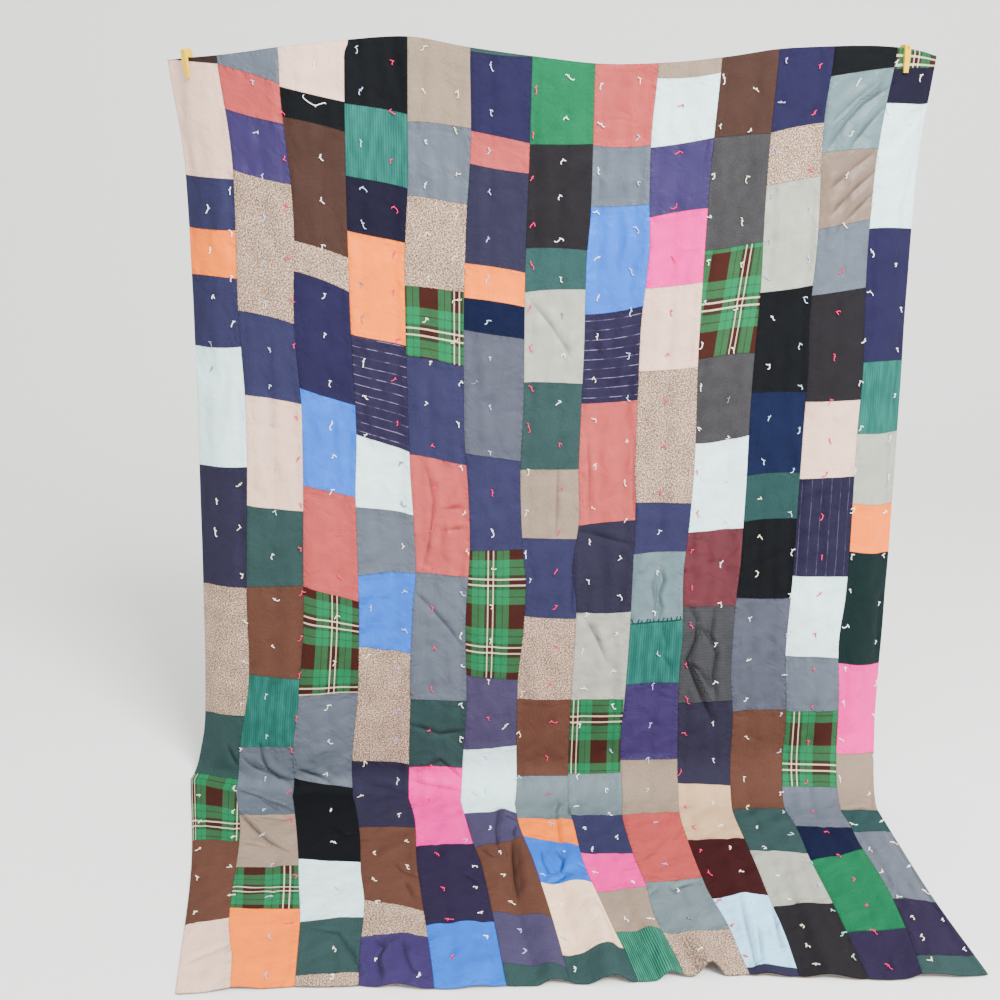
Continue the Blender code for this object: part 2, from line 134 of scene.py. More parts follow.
# ------------------------------------------------------------------ cutting list
# The patches of each strip from the top down, strips from left to right: fabric,
# length in millimetres down the middle of the strip, and how much lower the patch's
# lower seam lies at the strip's right side than at its left. The last runs to the hem.
# The lengths and slants were worked out by separate programs and copied in.
PATCH_COLUMNS = ("fabric", "length", "slant")
CUTTING_LIST = (
    (("dark_brown", 6, 22), ("beige", 240, 15), ("navy", 110, 10), ("orange", 105, 10), ("navy", 155, 0),
     ("pale_blue", 280, -5), ("dark_navy", 295, -5), ("tweed", 335, -15), ("dark_green", 170, -15),
     ("tartan", 285, -65), ("brown", 305, -85), ("beige", None, 0)),
    (("slate", 45, 55), ("salmon", 85, 45), ("purple", 125, 45), ("tweed", 300, 40), ("navy", 185, 30),
     ("beige", 255, 20), ("dark_green", 190, 0), ("brown", 230, 15), ("corduroy", 185, 0),
     ("slate", 230, -10), ("taupe", 220, -15), ("tartan", 155, -5), ("orange", None, 0)),
    (("beige", 100, 45), ("black", 60, 45), ("umber", 260, 50), ("tweed", 70, 60), ("blue_navy", 255, 55),
     ("mid_blue", 220, 45), ("salmon", 250, 55), ("tartan", 255, 10), ("slate", 235, 40),
     ("black", 325, 25), ("pale_blue", 215, -5), ("dark_green", 170, 0), ("tweed", None, 0)),
    (("black", 140, 30), ("corduroy", 150, 35), ("midnight", 115, 35), ("orange", 225, 35),
     ("pinstripe", 235, 50), ("pale_blue", 160, 30), ("slate", 155, 5), ("mid_blue", 190, 30),
     ("tweed", 295, 20), ("dark_navy", 235, 5), ("brown", 305, 45), ("tweed", 105, 5),
     ("purple", None, 0)),
    (("taupe", 165, -10), ("slate", 155, -5), ("tweed", 190, -10), ("tartan", 160, 0),
     ("navy", 225, 0), ("coral", 275, -15), ("slate", 320, -25), ("dark_green", 180, -25),
     ("hot_pink", 295, -40), ("dark_purple", 290, -40), ("mid_blue", None, 0)),
    (("dark_green", 5, -5), ("blue_navy", 165, 10), ("salmon", 65, 5), ("dark_navy", 210, 5),
     ("orange", 75, 5), ("deep_navy", 70, 5), ("dark_slate", 280, 5), ("navy", 220, -15),
     ("tartan", 320, 0), ("grey_violet", 185, -25), ("pale_blue", 205, -25), ("grey_violet", 135, -60),
     ("brown", 270, 5), ("grey_violet", 160, 0), ("dark_green", None, 0)),
    (("kelly_green", 170, -15), ("charcoal", 220, -10), ("grey_green", 90, -20),
     ("light_grey", 205, -10), ("dark_green", 200, -15), ("taupe", 165, -10), ("navy", 195, -5),
     ("tweed", 210, -10), ("brown", 200, -15), ("grey_slate", 150, -15), ("orange", 100, 20),
     ("mid_blue", 165, -20), ("oatmeal", 230, -45), ("dark_green", None, 0)),
    (("salmon", 165, 0), ("slate", 125, -5), ("mid_blue", 225, -20), ("pinstripe", 205, -10),
     ("coral", 285, -15), ("violet_navy", 220, -5), ("light_grey", 225, -5), ("tartan", 190, -5),
     ("grey_slate", 135, -5), ("navy", 165, -5), ("hot_pink", 140, -25), ("taupe", 145, -5),
     ("rubbed_corduroy", None, 0)),
    (("taupe", 30, 0), ("pale_blue", 135, -10), ("purple", 145, -10), ("hot_pink", 155, -5),
     ("beige", 185, 0), ("tweed", 310, 10), ("navy", 120, 0), ("light_slate", 170, -5),
     ("corduroy", 160, 0), ("purple", 200, 5), ("taupe", 160, -5), ("salmon", 275, -10),
     ("grey_slate", 180, -10), ("tweed", None, 0)),
    (("umber", 165, 10), ("charcoal_wool", 230, 0), ("tartan", 240, 5), ("charcoal_wool", 190, 0),
     ("pale_blue", 215, 10), ("burgundy", 185, 20), ("ribbed_charcoal", 245, 15),
     ("violet_navy", 215, 25), ("tan", 210, 10), ("maroon", 225, 5), ("sky_blue", 230, 20),
     ("dark_navy", None, 0)),
    (("blue_navy", 160, -15), ("tweed", 110, -15), ("light_grey", 230, -10), ("black", 230, 5),
     ("deep_blue", 190, 0), ("teal_green", 110, 0), ("black", 190, 10), ("dark_slate", 290, 5),
     ("brown", 265, 5), ("dark_green", 185, 20), ("light_grey", 200, -5), ("charcoal", None, 0)),
    (("black", 50, -20), ("light_slate", 160, -10), ("taupe_satin", 155, -20), ("slate", 145, -15),
     ("charcoal", 245, 0), ("beige", 180, 0), ("pinstripe_turned", 240, 10), ("pale_blue", 205, 15),
     ("slate", 140, 10), ("tartan", 195, 15), ("slate", 150, 20), ("deep_navy", 115, -35),
     ("kelly_green", 280, 5), ("dark_purple", None, 0)),
    (("tartan", 35, -20), ("midnight", 70, -15), ("pale_blue", 265, -10), ("blue_navy", 295, -10),
     ("corduroy", 165, -10), ("light_grey", 170, 0), ("orange", 120, 5), ("bottle_green", 285, 10),
     ("hot_pink", 235, 5), ("taupe", 170, 30), ("teal_green", 95, 25), ("slate", 270, 40),
     ("dark_purple", 185, 15), ("dark_green", None, 0)),
)

# How each long seam between two strips strays from its even place, seams from left to
# right: distance from the top edge, then how far it lies to the right. Millimetres.
# Thinned out from the output of a measuring program.
SEAM_STRAYS = (
    ((30, -6), (210, 2), (500, -2), (800, 9), (1230, -1), (1410, 6), (1620, -11), (1900, 9),
     (2250, -8), (2370, 4)),
    ((30, -4), (90, -7), (360, 5), (570, -3), (780, 8), (960, 6), (1200, 1), (1500, 0),
     (1600, -8), (1800, -2), (2070, -4), (2250, 4)),
    ((5, 11), (30, 2), (330, -3), (540, -3), (840, 4), (990, -2), (1300, 0), (1470, 3), (1680, -9),
     (1800, 2), (1920, 5), (2070, 1), (2190, 7), (2370, -1)),
    ((30, 3), (250, 3), (500, -9), (660, -9), (930, -5), (1080, 2), (1170, 4), (1290, -6),
     (1410, -7), (1530, -1), (1710, -4), (1860, 5), (2070, -6), (2400, 1)),
    ((30, 0), (180, 5), (380, -4), (640, -8), (810, -7), (960, 3), (1080, 7), (1290, -2),
     (1470, 3), (1680, -4), (1920, -3), (2040, 3), (2370, 4)),
    ((30, 2), (200, 1), (480, -5), (720, -5), (900, -11), (1080, -4), (1170, 5), (1290, 2),
     (1410, -5), (1590, 0), (1680, 4), (1860, -7), (2100, -1), (2280, 5)),
    ((30, 0), (300, 2), (420, -4), (600, -2), (870, -4), (990, 2), (1110, -8), (1230, 5),
     (1500, 1), (1800, 0), (1980, -6), (2130, 4), (2250, 12), (2310, 17)),
    ((30, 0), (150, -5), (270, -2), (380, 4), (570, -7), (870, -6), (960, 0), (1170, 2),
     (1410, 4), (1560, 0), (1680, 4), (1800, -5), (1950, 0), (2070, 9), (2190, 0), (2300, 5)),
    ((30, 3), (330, -1), (600, 0), (870, 8), (1000, 5), (1140, -4), (1290, 1), (1410, -3),
     (1680, 4), (1830, -4), (2070, -1), (2220, 11), (2310, 9)),
    ((30, 0), (300, 1), (480, 5), (720, 2), (950, 4), (1110, 3), (1230, -4), (1400, -8),
     (1530, 2), (1700, 2), (1830, -3), (2070, -3), (2280, 6)),
    ((30, 3), (150, -5), (390, 3), (570, -2), (690, 4), (900, 3), (1170, 3), (1350, -2),
     (1530, 8), (1680, 4), (1770, -2), (1860, 4), (2000, -2), (2200, 2)),
    ((30, 11), (150, 4), (400, -3), (510, -1), (690, 7), (840, 3), (1110, 4), (1230, 1),
     (1350, -10), (1500, -1), (1650, 2), (1850, 5), (1950, -4), (2190, -3), (2300, 1)),
)

TARTAN_CROSSINGS = {
    (1, 10): (12, 1912, 0.0, 1.5),
    (2, 12): (103, 2137, 0.0, 1.0),
    (3, 8): (72, 1290, 0.0, 1.0),
    (5, 4): (106, 612, 0.0, 1.0),
    (6, 9): (54, 1168, 0.0, 1.0),
    (8, 8): (14, 1500, 0.0, 1.0),
    (10, 3): (88, 520, -0.10, 1.0),
    (12, 10): (31, 1666, 0.0, 1.0),
    (13, 1): (57, 20, 0.0, 1.0),
}

# Rows of yarn ties: strip, millimetres from its left seam, yarn, the first and the last
# tie's distance from the top edge in millimetres, and how many ties there are.
# Worked out by a separate program and copied in.
TIE_COLUMNS = ("strip", "across", "yarn", "first", "last", "count")
LONG_TIE = (3, 70, 1)       # strip, across and place in its row of the one with long ends
LONG_ENDS = 3.6             # its tails are this much longer than usual
TIE_ROWS = (
    (1, 70, "white", 310, 495, 3), (1, 60, "grey", 605, 670, 2), (1, 60, "white", 985, 1060, 2),
    (1, 35, "cream", 1800, 2265, 5), (1, 120, "white", 270, 555, 4), (1, 120, "cream", 925, 2165, 12),
    (2, 68, "sky", 65, 705, 8), (2, 72, "lilac", 795, 905, 2), (2, 70, "sky", 1005, 1005, 1),
    (2, 65, "white", 1100, 1340, 3), (2, 57, "sky", 1455, 1925, 5), (2, 75, "lilac", 2040, 2415, 4),
    (2, 122, "pink", 130, 620, 6), (2, 126, "pink", 780, 1515, 8), (2, 117, "pink", 1600, 1845, 3),
    (2, 118, "pink", 2075, 2260, 2),
    (3, 70, "white", 40, 610, 7), (3, 76, "white", 715, 965, 4), (3, 80, "pink", 1070, 1175, 2),
    (3, 79, "cream", 1280, 1390, 2), (3, 66, "white", 1505, 1680, 3), (3, 75, "white", 1815, 1960, 2),
    (3, 80, "sky", 2140, 2140, 1), (3, 80, "white", 2330, 2415, 2),
    (4, 33, "sky", 15, 385, 5), (4, 25, "grey", 500, 575, 2), (4, 25, "white", 675, 835, 3),
    (4, 26, "sky", 1260, 1260, 1), (4, 24, "cream", 1375, 1375, 1), (4, 20, "cream", 1660, 1755, 2),
    (4, 30, "cream", 2010, 2195, 3), (4, 30, "white", 2385, 2385, 1), (4, 97, "pink", 50, 820, 9),
    (4, 102, "grey", 915, 1010, 2), (4, 104, "white", 1115, 1115, 1), (4, 104, "sky", 1235, 1320, 2),
    (4, 99, "lilac", 1425, 1615, 3), (4, 101, "white", 1720, 1840, 2), (4, 103, "cream", 1965, 2065, 2),
    (4, 109, "white", 2440, 2440, 1),
    (5, 37, "cream", 15, 105, 2), (5, 39, "white", 205, 770, 7), (5, 48, "pink", 860, 1770, 10),
    (5, 42, "pink", 2015, 2380, 4), (5, 104, "cream", 85, 615, 7), (5, 112, "white", 710, 905, 3),
    (5, 126, "cream", 1000, 1105, 2), (5, 119, "sky", 1205, 1205, 1), (5, 120, "white", 1300, 1580, 4),
    (5, 114, "lilac", 1925, 1925, 1), (5, 112, "white", 2045, 2290, 4),
    (6, 45, "sky", 30, 560, 7), (6, 50, "sky", 640, 855, 3), (6, 20, "grey", 700, 700, 1),
    (6, 55, "pink", 950, 950, 1), (6, 60, "white", 1040, 1040, 1), (6, 56, "cream", 1135, 1410, 4),
    (6, 55, "pink", 1505, 1505, 1), (6, 100, "white", 1535, 1535, 1), (6, 55, "sky", 1615, 1705, 2),
    (6, 50, "white", 1865, 1970, 2), (6, 48, "cream", 2070, 2160, 2), (6, 60, "lilac", 2255, 2330, 2),
    (7, 8, "pink", 60, 790, 9), (7, 6, "white", 885, 1085, 3), (7, 15, "sky", 1155, 1155, 1),
    (7, 6, "cream", 1435, 1545, 2), (7, 8, "sky", 1660, 1660, 1), (7, 10, "sky", 2050, 2050, 1),
    (7, 15, "mint", 2260, 2260, 1), (7, 25, "white", 2350, 2350, 1), (7, 70, "white", 30, 450, 6),
    (7, 79, "grey", 530, 530, 1), (7, 79, "white", 615, 725, 2), (7, 82, "pink", 825, 1700, 10),
    (7, 79, "sky", 1820, 1945, 2), (7, 40, "white", 2150, 2150, 1),
    (8, 15, "white", 40, 305, 4), (8, 22, "cream", 390, 665, 4), (8, 29, "cream", 765, 965, 3),
    (8, 30, "white", 1045, 1510, 6), (8, 24, "white", 1645, 1925, 4), (8, 16, "cream", 2020, 2020, 1),
    (8, 50, "white", 2185, 2185, 1), (8, 94, "cream", 40, 40, 1), (8, 99, "sky", 145, 710, 7),
    (8, 103, "cream", 810, 1000, 3), (8, 104, "white", 1085, 1470, 5), (8, 104, "sky", 1580, 1580, 1),
    (8, 97, "white", 1675, 1865, 3), (8, 105, "white", 2055, 2190, 2),
    (9, 58, "pink", 85, 930, 9), (9, 64, "white", 1025, 1225, 3), (9, 69, "sky", 1320, 1320, 1),
    (9, 66, "lilac", 1410, 1505, 2), (9, 64, "sky", 1605, 1605, 1), (9, 64, "mint", 1685, 1685, 1),
    (9, 64, "lilac", 1810, 1995, 2), (9, 69, "white", 2085, 2085, 1), (9, 64, "grey", 2190, 2190, 1),
    (9, 55, "cream", 2305, 2305, 1),
    (10, 8, "white", 45, 785, 9), (10, 16, "pink", 885, 2310, 16), (10, 84, "cream", 65, 625, 7),
    (10, 80, "grey", 725, 725, 1), (10, 84, "cream", 830, 1020, 3), (10, 86, "white", 1120, 2245, 12),
    (11, 15, "lilac", 25, 475, 6), (11, 37, "white", 565, 665, 2), (11, 43, "sky", 775, 875, 2),
    (11, 45, "cream", 975, 1160, 3), (11, 34, "white", 1270, 1475, 3), (11, 40, "cream", 1580, 1765, 3),
    (11, 38, "white", 1860, 2150, 4), (11, 40, "cream", 2235, 2360, 3), (11, 100, "pink", 40, 235, 3),
    (11, 112, "sky", 335, 620, 4), (11, 121, "sky", 720, 1015, 4), (11, 128, "white", 1110, 1215, 2),
    (11, 127, "sky", 1320, 1615, 4), (11, 124, "cream", 1720, 1720, 1), (11, 120, "sky", 1795, 2095, 4),
    (11, 121, "mint", 2180, 2340, 3),
    (12, 59, "cream", 70, 360, 4), (12, 62, "pink", 460, 2360, 21),
    (13, 8, "white", 25, 1605, 17), (13, 15, "white", 1700, 1870, 2), (13, 10, "cream", 1960, 2145, 3),
    (13, 25, "cream", 2235, 2370, 3), (13, 75, "white", 45, 440, 5), (13, 98, "white", 540, 1030, 6),
    (13, 100, "white", 1135, 1345, 3), (13, 120, "white", 1455, 1655, 3), (13, 106, "white", 1760, 2350, 7),
)

# Main creases, each a soft trough beside a ridge: depth and half width, then the line
# it follows, as distances from the quilt's left edge and from its top edge. Millimetres.
# Many of the lines were worked out by a separate program. Some were changed afterwards.
CREASES = (
    # near the top right corner
    (3.4, 11, ((1430, 205), (1460, 160), (1495, 120), (1560, 75))),
    (2.6, 9, ((1480, 205), (1515, 160), (1552, 118))),
    (2.0, 9, ((1436, 150), (1472, 112), (1515, 75))),
    (2.6, 9, ((1446, 345), (1500, 292), (1556, 246))),
    (2.6, 9, ((1470, 370), (1515, 328), (1556, 290))),
    (2.0, 8, ((1442, 290), (1490, 250), (1540, 212))),
    # down the middle
    (2.0, 9, ((780, 505), (830, 560), (875, 625))),
    (2.2, 8, ((550, 925), (565, 995), (555, 1090), (540, 1155))),
    (1.5, 7, ((580, 1065), (640, 1045))),
    (1.5, 7, ((595, 1010), (640, 995))),
    (2.0, 7, ((918, 805), (925, 900), (930, 1000))),
    (1.5, 6, ((1020, 805), (1028, 990))),
    (2.0, 8, ((850, 880), (850, 1040))),
    (1.6, 8, ((520, 1230), (600, 1300), (637, 1340))),
    (1.8, 8, ((925, 1235), (960, 1295), (988, 1355))),
    (2.0, 7, ((522, 1570), (585, 1580), (648, 1555))),
    (1.5, 7, ((894, 1090), (895, 1230))),
    (1.4, 8, ((908, 1025), (1024, 1055))),
    # the light slate and corduroy patches of strip 9, and the ribbed patch beside them
    (2.4, 6, ((1102, 1120), (1110, 1150), (1099, 1185), (1108, 1220), (1099, 1250))),
    (1.8, 6, ((1090, 1130), (1083, 1165), (1092, 1210), (1088, 1250))),
    (1.0, 8, ((1112, 1260), (1125, 1310), (1120, 1340), (1138, 1370), (1143, 1410))),
    (4.0, 8, ((1178, 1225), (1194, 1255), (1192, 1305), (1174, 1355), (1192, 1405), (1218, 1470),
              (1240, 1520))),
    (3.0, 7, ((1236, 1240), (1229, 1300), (1244, 1350), (1238, 1410), (1251, 1470))),
    (1.8, 6, ((1194, 1265), (1214, 1290), (1244, 1345))),
    (1.8, 6, ((1178, 1360), (1205, 1385), (1236, 1440))),
    # low on the left
    (2.0, 6, ((88, 1605), (101, 1630), (116, 1655))),
    (2.5, 7, ((170, 1595), (178, 1635), (190, 1660), (217, 1685), (250, 1695))),
    (1.8, 8, ((128, 1630), (157, 1655), (204, 1675), (255, 1705))),
    (3.0, 5, ((122, 1710), (181, 1745), (206, 1770), (237, 1790), (255, 1815))),
    (2.0, 5, ((188, 1760), (212, 1795), (224, 1810))),
    (4.0, 5, ((136, 1820), (168, 1890), (201, 1950), (232, 1985))),
    (1.5, 6, ((144, 1955), (194, 1970))),
    (1.5, 6, ((181, 1840), (240, 1855))),
    (2.0, 6, ((266, 1665), (302, 1685), (330, 1705))),
    (1.6, 7, ((413, 1720), (470, 1735), (519, 1760))),
    # on the ground, from left to right
    (1.4, 8, ((28, 2440), (75, 2385), (129, 2330))),
    (2.0, 6, ((292, 2275), (341, 2290), (372, 2355), (390, 2415))),
    (1.8, 6, ((330, 1885), (362, 1935), (385, 1925))),
    (1.8, 6, ((460, 2045), (475, 2080), (511, 2110))),
    (1.8, 6, ((480, 2125), (495, 2180))),
    (3.0, 6, ((418, 2320), (433, 2350), (420, 2380), (428, 2440))),
    (2.5, 6, ((468, 2330), (470, 2375), (480, 2415), (500, 2435))),
    (1.8, 5, ((516, 1715), (555, 1720), (640, 1715))),
    (1.6, 6, ((540, 1690), (586, 1650), (640, 1685))),
    (1.8, 6, ((600, 2075), (622, 2095), (622, 2120))),
    (1.8, 6, ((663, 1715), (686, 1730))),
    (2.6, 9, ((722, 1805), (707, 1870), (697, 1940), (704, 1975))),
    (2.0, 5, ((735, 1830), (764, 1825))),
    (1.8, 5, ((760, 1850), (746, 1880), (743, 1915))),
    (1.8, 5, ((658, 1970), (668, 1995), (683, 2005))),
    (4.0, 15, ((735, 1925), (722, 2005), (714, 2080), (711, 2150))),
    (1.8, 5, ((872, 1705), (882, 1730), (869, 1765), (864, 1815))),
    (1.8, 5, ((900, 1740), (898, 1780))),
    (2.0, 7, ((864, 1815), (854, 1920))),
    (2.6, 7, ((836, 1945), (846, 1985), (830, 2030), (852, 2040))),
    (2.4, 7, ((802, 1945), (793, 2000), (800, 2035), (825, 2045))),
    (2.0, 6, ((792, 2080), (844, 2045))),
    (1.8, 6, ((877, 2005), (903, 2010))),
    (2.0, 7, ((1220, 2140), (1200, 2295), (1190, 2340))),
    (1.8, 6, ((1241, 2215), (1213, 2335))),
    (1.8, 6, ((1287, 2155), (1275, 2310))),
    (2.4, 6, ((1087, 2065), (1091, 2085), (1111, 2070), (1141, 2055))),
    (1.8, 6, ((1042, 2100), (1063, 2075))),
    (1.8, 6, ((1545, 1795), (1615, 1800), (1660, 1825))),
)
CREASE_FADE = 14 * MM       # how far from its line a crease's painted shade still reaches
DEEPEST_CREASE = 4.0        # millimetres: a crease this deep gets the full painted shade

# Soft mounds in the cloth: height, half width across and down the cloth, and the place
# of the middle, across and down. Millimetres.
MOUNDS = (
    (13, 20, 32, 738, 1815),
    (9, 20, 120, 752, 2010),
    (8, 22, 120, 672, 2030),
    (7, 14, 45, 786, 1990),
    (9, 20, 42, 872, 1965),
    (9, 16, 110, 882, 2220),
    (6, 24, 30, 1240, 2120),
    (5, 26, 60, 590, 1900),
    (5, 30, 50, 330, 2200),
    (5, 22, 60, 1110, 2180),
)

# ------------------------------------------------------------------ fabrics and yarns
# Colour, weave and plain description of every fabric in the cutting list. Many of the
# colours were corrected with values that a separate measuring program gave.
FABRICS = {
    "beige": ("#E4BFA9", "lining", "beige cotton lining"),
    "oatmeal": ("#FDD8B4", "lining", "oatmeal cotton lining"),
    "tan": ("#C8A37D", "lining", "tan cotton lining"),
    "navy": ("#2C2C49", "suiting", "navy wool suiting"),
    "blue_navy": ("#201D3A", "suiting", "blue navy wool suiting"),
    "midnight": ("#161425", "suiting", "midnight blue wool suiting"),
    "dark_navy": ("#272538", "suiting", "dark navy wool suiting"),
    "deep_navy": ("#0C132D", "suiting", "deep navy wool suiting"),
    "violet_navy": ("#272536", "suiting", "violet navy wool suiting"),
    "dark_purple": ("#241D34", "suiting", "dark purple wool suiting"),
    "grey_violet": ("#3F3A54", "suiting", "grey violet wool suiting"),
    "deep_blue": ("#111834", "suiting", "deep blue wool suiting"),
    "slate": ("#545C67", "lining", "slate cotton lining"),
    "dark_slate": ("#464956", "lining", "dark slate cotton lining"),
    "grey_slate": ("#606F74", "lining", "grey slate cotton lining"),
    "light_slate": ("#5A7176", "satin", "light slate satin lining"),
    "light_grey": ("#9E9F93", "satin", "light grey satin lining"),
    "taupe": ("#8C7A69", "suiting", "taupe wool suiting"),
    "taupe_satin": ("#786456", "satin", "taupe satin lining"),
    "black": ("#0C0E11", "suiting", "black wool suiting"),
    "charcoal": ("#1E1C1F", "suiting", "charcoal wool suiting"),
    "brown": ("#54362B", "suiting", "brown wool suiting"),
    "umber": ("#3C2923", "suiting", "umber wool suiting"),
    "dark_brown": ("#2B2021", "suiting", "dark brown wool suiting"),
    "maroon": ("#321213", "suiting", "maroon wool suiting"),
    "dark_green": ("#2A403F", "suiting", "dark green wool suiting"),
    "grey_green": ("#2A4745", "suiting", "grey green wool suiting"),
    "bottle_green": ("#0E1F1F", "suiting", "bottle green wool suiting"),
    "teal_green": ("#223E3D", "suiting", "teal green wool suiting"),
    "kelly_green": ("#12613D", "suiting", "kelly green wool suiting"),
    "purple": ("#312752", "lining", "purple cotton sateen"),
    "orange": ("#FF780A", "lining", "orange cotton sateen"),
    "pale_blue": ("#D8F6F6", "lining", "pale blue cotton sateen"),
    "sky_blue": ("#A8E2FF", "lining", "sky blue cotton sateen"),
    "mid_blue": ("#0A62CE", "satin", "mid blue satin lining"),
    "salmon": ("#AB4341", "lining", "salmon cotton sateen"),
    "coral": ("#B04341", "satin", "coral satin lining"),
    "hot_pink": ("#F30090", "lining", "hot pink cotton sateen"),
    "burgundy": ("#521420", "satin", "burgundy satin lining"),
    "tweed": ("#9A7C68", "tweed", "flecked brown tweed"),
    "charcoal_wool": ("#383739", "felted", "charcoal milled wool"),
    "ribbed_charcoal": ("#393A3D", "ribbed", "charcoal ribbed wool"),
    "corduroy": ("#215D54", "corduroy", "teal cotton corduroy"),
    "rubbed_corduroy": ("#2A6B57", "rubbed_corduroy", "teal cotton corduroy, its pile rubbed"),
    "pinstripe": ("#231E36", "pinstripe", "purple navy pinstriped wool"),
    "pinstripe_turned": ("#1D1930", "pinstripe_turned", "purple navy pinstriped wool, turned"),
    "tartan": ("#1B6C44", "tartan", "green and brown tartan wool"),
    "backing": ("#6F6459", "suiting", "grey brown cotton flannel"),
}
# Other colours that a patterned fabric is woven from.
THREADS = {
    "tweed_dark": "#4A382C",
    "tweed_light": "#E2CDB6",
    "tartan_brown": "#371B16",
    "tartan_cream": "#EEDDC4",
    "pinstripe_line": "#8F86A6",
}
YARNS = {
    "white": "#FCFCFA",
    "cream": "#F6EDD2",
    "pink": "#E62468",
    "sky": "#B8CCE6",
    "lilac": "#B9AEDC",
    "mint": "#A8D8C8",
    "grey": "#78828F",
}
PEG_COLOUR = "#E6B900"
FLOOR_COLOUR = "#F4F4F2"
STITCH_COLOUR = "#14403A"


def linear(code):
    """An sRGB hex colour as linear red, green and blue."""
    parts = [int(code[i:i + 2], 16) / 255 for i in (1, 3, 5)]
    return tuple(c / 12.92 if c <= 0.04045 else ((c + 0.055) / 1.055) ** 2.4 for c in parts)


# ------------------------------------------------------------------ settings
def length(name, description, default, least, most):
    """A length setting. Its usual, least and greatest values are given in millimetres."""
    return bpy.props.FloatProperty(name=name, description=description, default=default * MM,
                                   min=least * MM, max=most * MM, unit="LENGTH", precision=4)


class QuiltSizes(bpy.types.PropertyGroup):
    sheet: length("Cloth thickness", "Thickness of one layer of cloth", 0.8, 0.2, 2)
    row_step: length("Patch rows", "Spacing of the mesh rows down a strip", 6.2, 3, 20)
    strip_cells: bpy.props.IntProperty(
        name="Strip cells", description="Mesh cells across one strip", default=32, min=8, max=40)
    backing_cell: length("Backing cell", "Spacing of the backing's mesh", 10, 5, 40)
    seam_rise: length("Rise in a seam", "Middle of the quilt to its front face in a seam", 1.2, 1.1, 3)
    puff_rise: length("Rise between seams", "Middle of the quilt to its front face between seams",
                      4.2, 2, 10)
    tie_dip: length("Tie dip", "How far a tie draws the cloth in", 2.6, 0, 6)
    yarn_radius: length("Yarn radius", "Half the thickness of the tying yarn", 1.1, 0.5, 3)
    yarn_tail: length("Yarn tail", "Usual length of a tie's free end", 10, 3, 40)


class StageSettings(bpy.types.PropertyGroup):
    floor_size: bpy.props.FloatProperty(
        name="Floor size", description="Side of the studio floor", default=14.0, min=2, unit="LENGTH")
    daylight: bpy.props.FloatProperty(
        name="Daylight", description="Strength of the even studio light", default=1.2, min=0)
    key_power: bpy.props.FloatProperty(
        name="Key light", description="Power of the soft lamp in front", default=880.0, min=0, unit="POWER")
    top_power: bpy.props.FloatProperty(
        name="Top light", description="Power of the soft lamp overhead", default=100.0, min=0, unit="POWER")
    lens: bpy.props.FloatProperty(
        name="Lens", description="Focal length of the camera on a 36 mm wide frame",
        default=42.336, min=10, max=200, unit="CAMERA")


def colour_group(name, codes):
    """A property group with one colour for each named hex code."""
    rows = {}
    for key, code in codes.items():
        words = key.replace("_", " ")
        rows[key] = bpy.props.FloatVectorProperty(
            name=words.capitalize(), description=f"Colour of the {words}",
            subtype="COLOR", size=3, min=0, max=1, default=linear(code))
    return type(name, (bpy.types.PropertyGroup,), {"__annotations__": rows})


FabricColours = colour_group("FabricColours", {key: row[0] for key, row in FABRICS.items()})
ThreadColours = colour_group("ThreadColours", THREADS)
YarnColours = colour_group("YarnColours", YARNS)
OtherColours = colour_group("OtherColours", {"peg": PEG_COLOUR, "floor": FLOOR_COLOUR,
                                             "stitch": STITCH_COLOUR})


# ------------------------------------------------------------------ cloth surface
def seam_value(column, u):
    """One column of SEAMS at strip coordinates u, on a smooth curve through the seams."""
    values = np.array([row[SEAM_COLUMNS.index(column)] for row in SEAMS])
    first = np.clip(np.floor(u).astype(int), 0, STRIPS - 1)
    t = u - first
    before = values[np.clip(first - 1, 0, STRIPS)]
    start = values[first]
    end = values[first + 1]
    after = values[np.clip(first + 2, 0, STRIPS)]
    bend = 2 * before - 5 * start + 4 * end - after
    twist = 3 * start - before - 3 * end + after
    return start + 0.5 * t * (end - before + t * (bend + t * twist))


def bump(offset, half):
    """A smooth hump, 1 at offset 0 and 0 from half outwards."""
    near = np.clip(np.abs(offset) / half, 0, 1)
    return 0.5 + 0.5 * np.cos(math.pi * near)


def rows_of(table, columns):
    """The rows of a table, each as a dictionary of its named columns."""
    return [dict(zip(columns, row)) for row in table]


def zone_lengths(u):
    """Lengths of cloth that hang, bend and lie on the ground, at strip coordinate u."""
    bend = seam_value("bend", u)
    hang = seam_value("top_z", u) - BACK_HALF - bend
    foot_y = FRONT_PLANE_Y + seam_value("back", u) - bend
    return hang, QUARTER_TURN * bend, foot_y - seam_value("hem_y", u)


def cloth_length(u):
    """Length of the cloth from its top edge to its hem, at strip coordinate u."""
    return sum(zone_lengths(u))


def smooth_path(knots, values, s):
    """A curve through values at rising knots that never swings past them, read at s."""
    last = len(knots) - 1
    slopes = [(values[i + 1] - values[i]) / (knots[i + 1] - knots[i]) for i in range(last)]
    tangents = [slopes[0]]
    for before, after in zip(slopes, slopes[1:]):
        level = before * after <= 0
        total = np.where(level, 1, before + after)
        tangents.append(np.where(level, 0, 2 * before * after / total))
    tangents.append(slopes[-1])
    result = values[0] + tangents[0] * (s - knots[0])
    for i in range(last):
        span = knots[i + 1] - knots[i]
        t = (s - knots[i]) / span
        piece = ((1 + 2 * t) * (1 - t) ** 2 * values[i] + t * (1 - t) ** 2 * span * tangents[i]
                 + t * t * (3 - 2 * t) * values[i + 1] - t * t * (1 - t) * span * tangents[i + 1])
        result = np.where(t >= 0, piece, result)
    past_hem = values[last] + tangents[last] * (s - knots[last])
    return np.where(s > knots[last], past_hem, result)


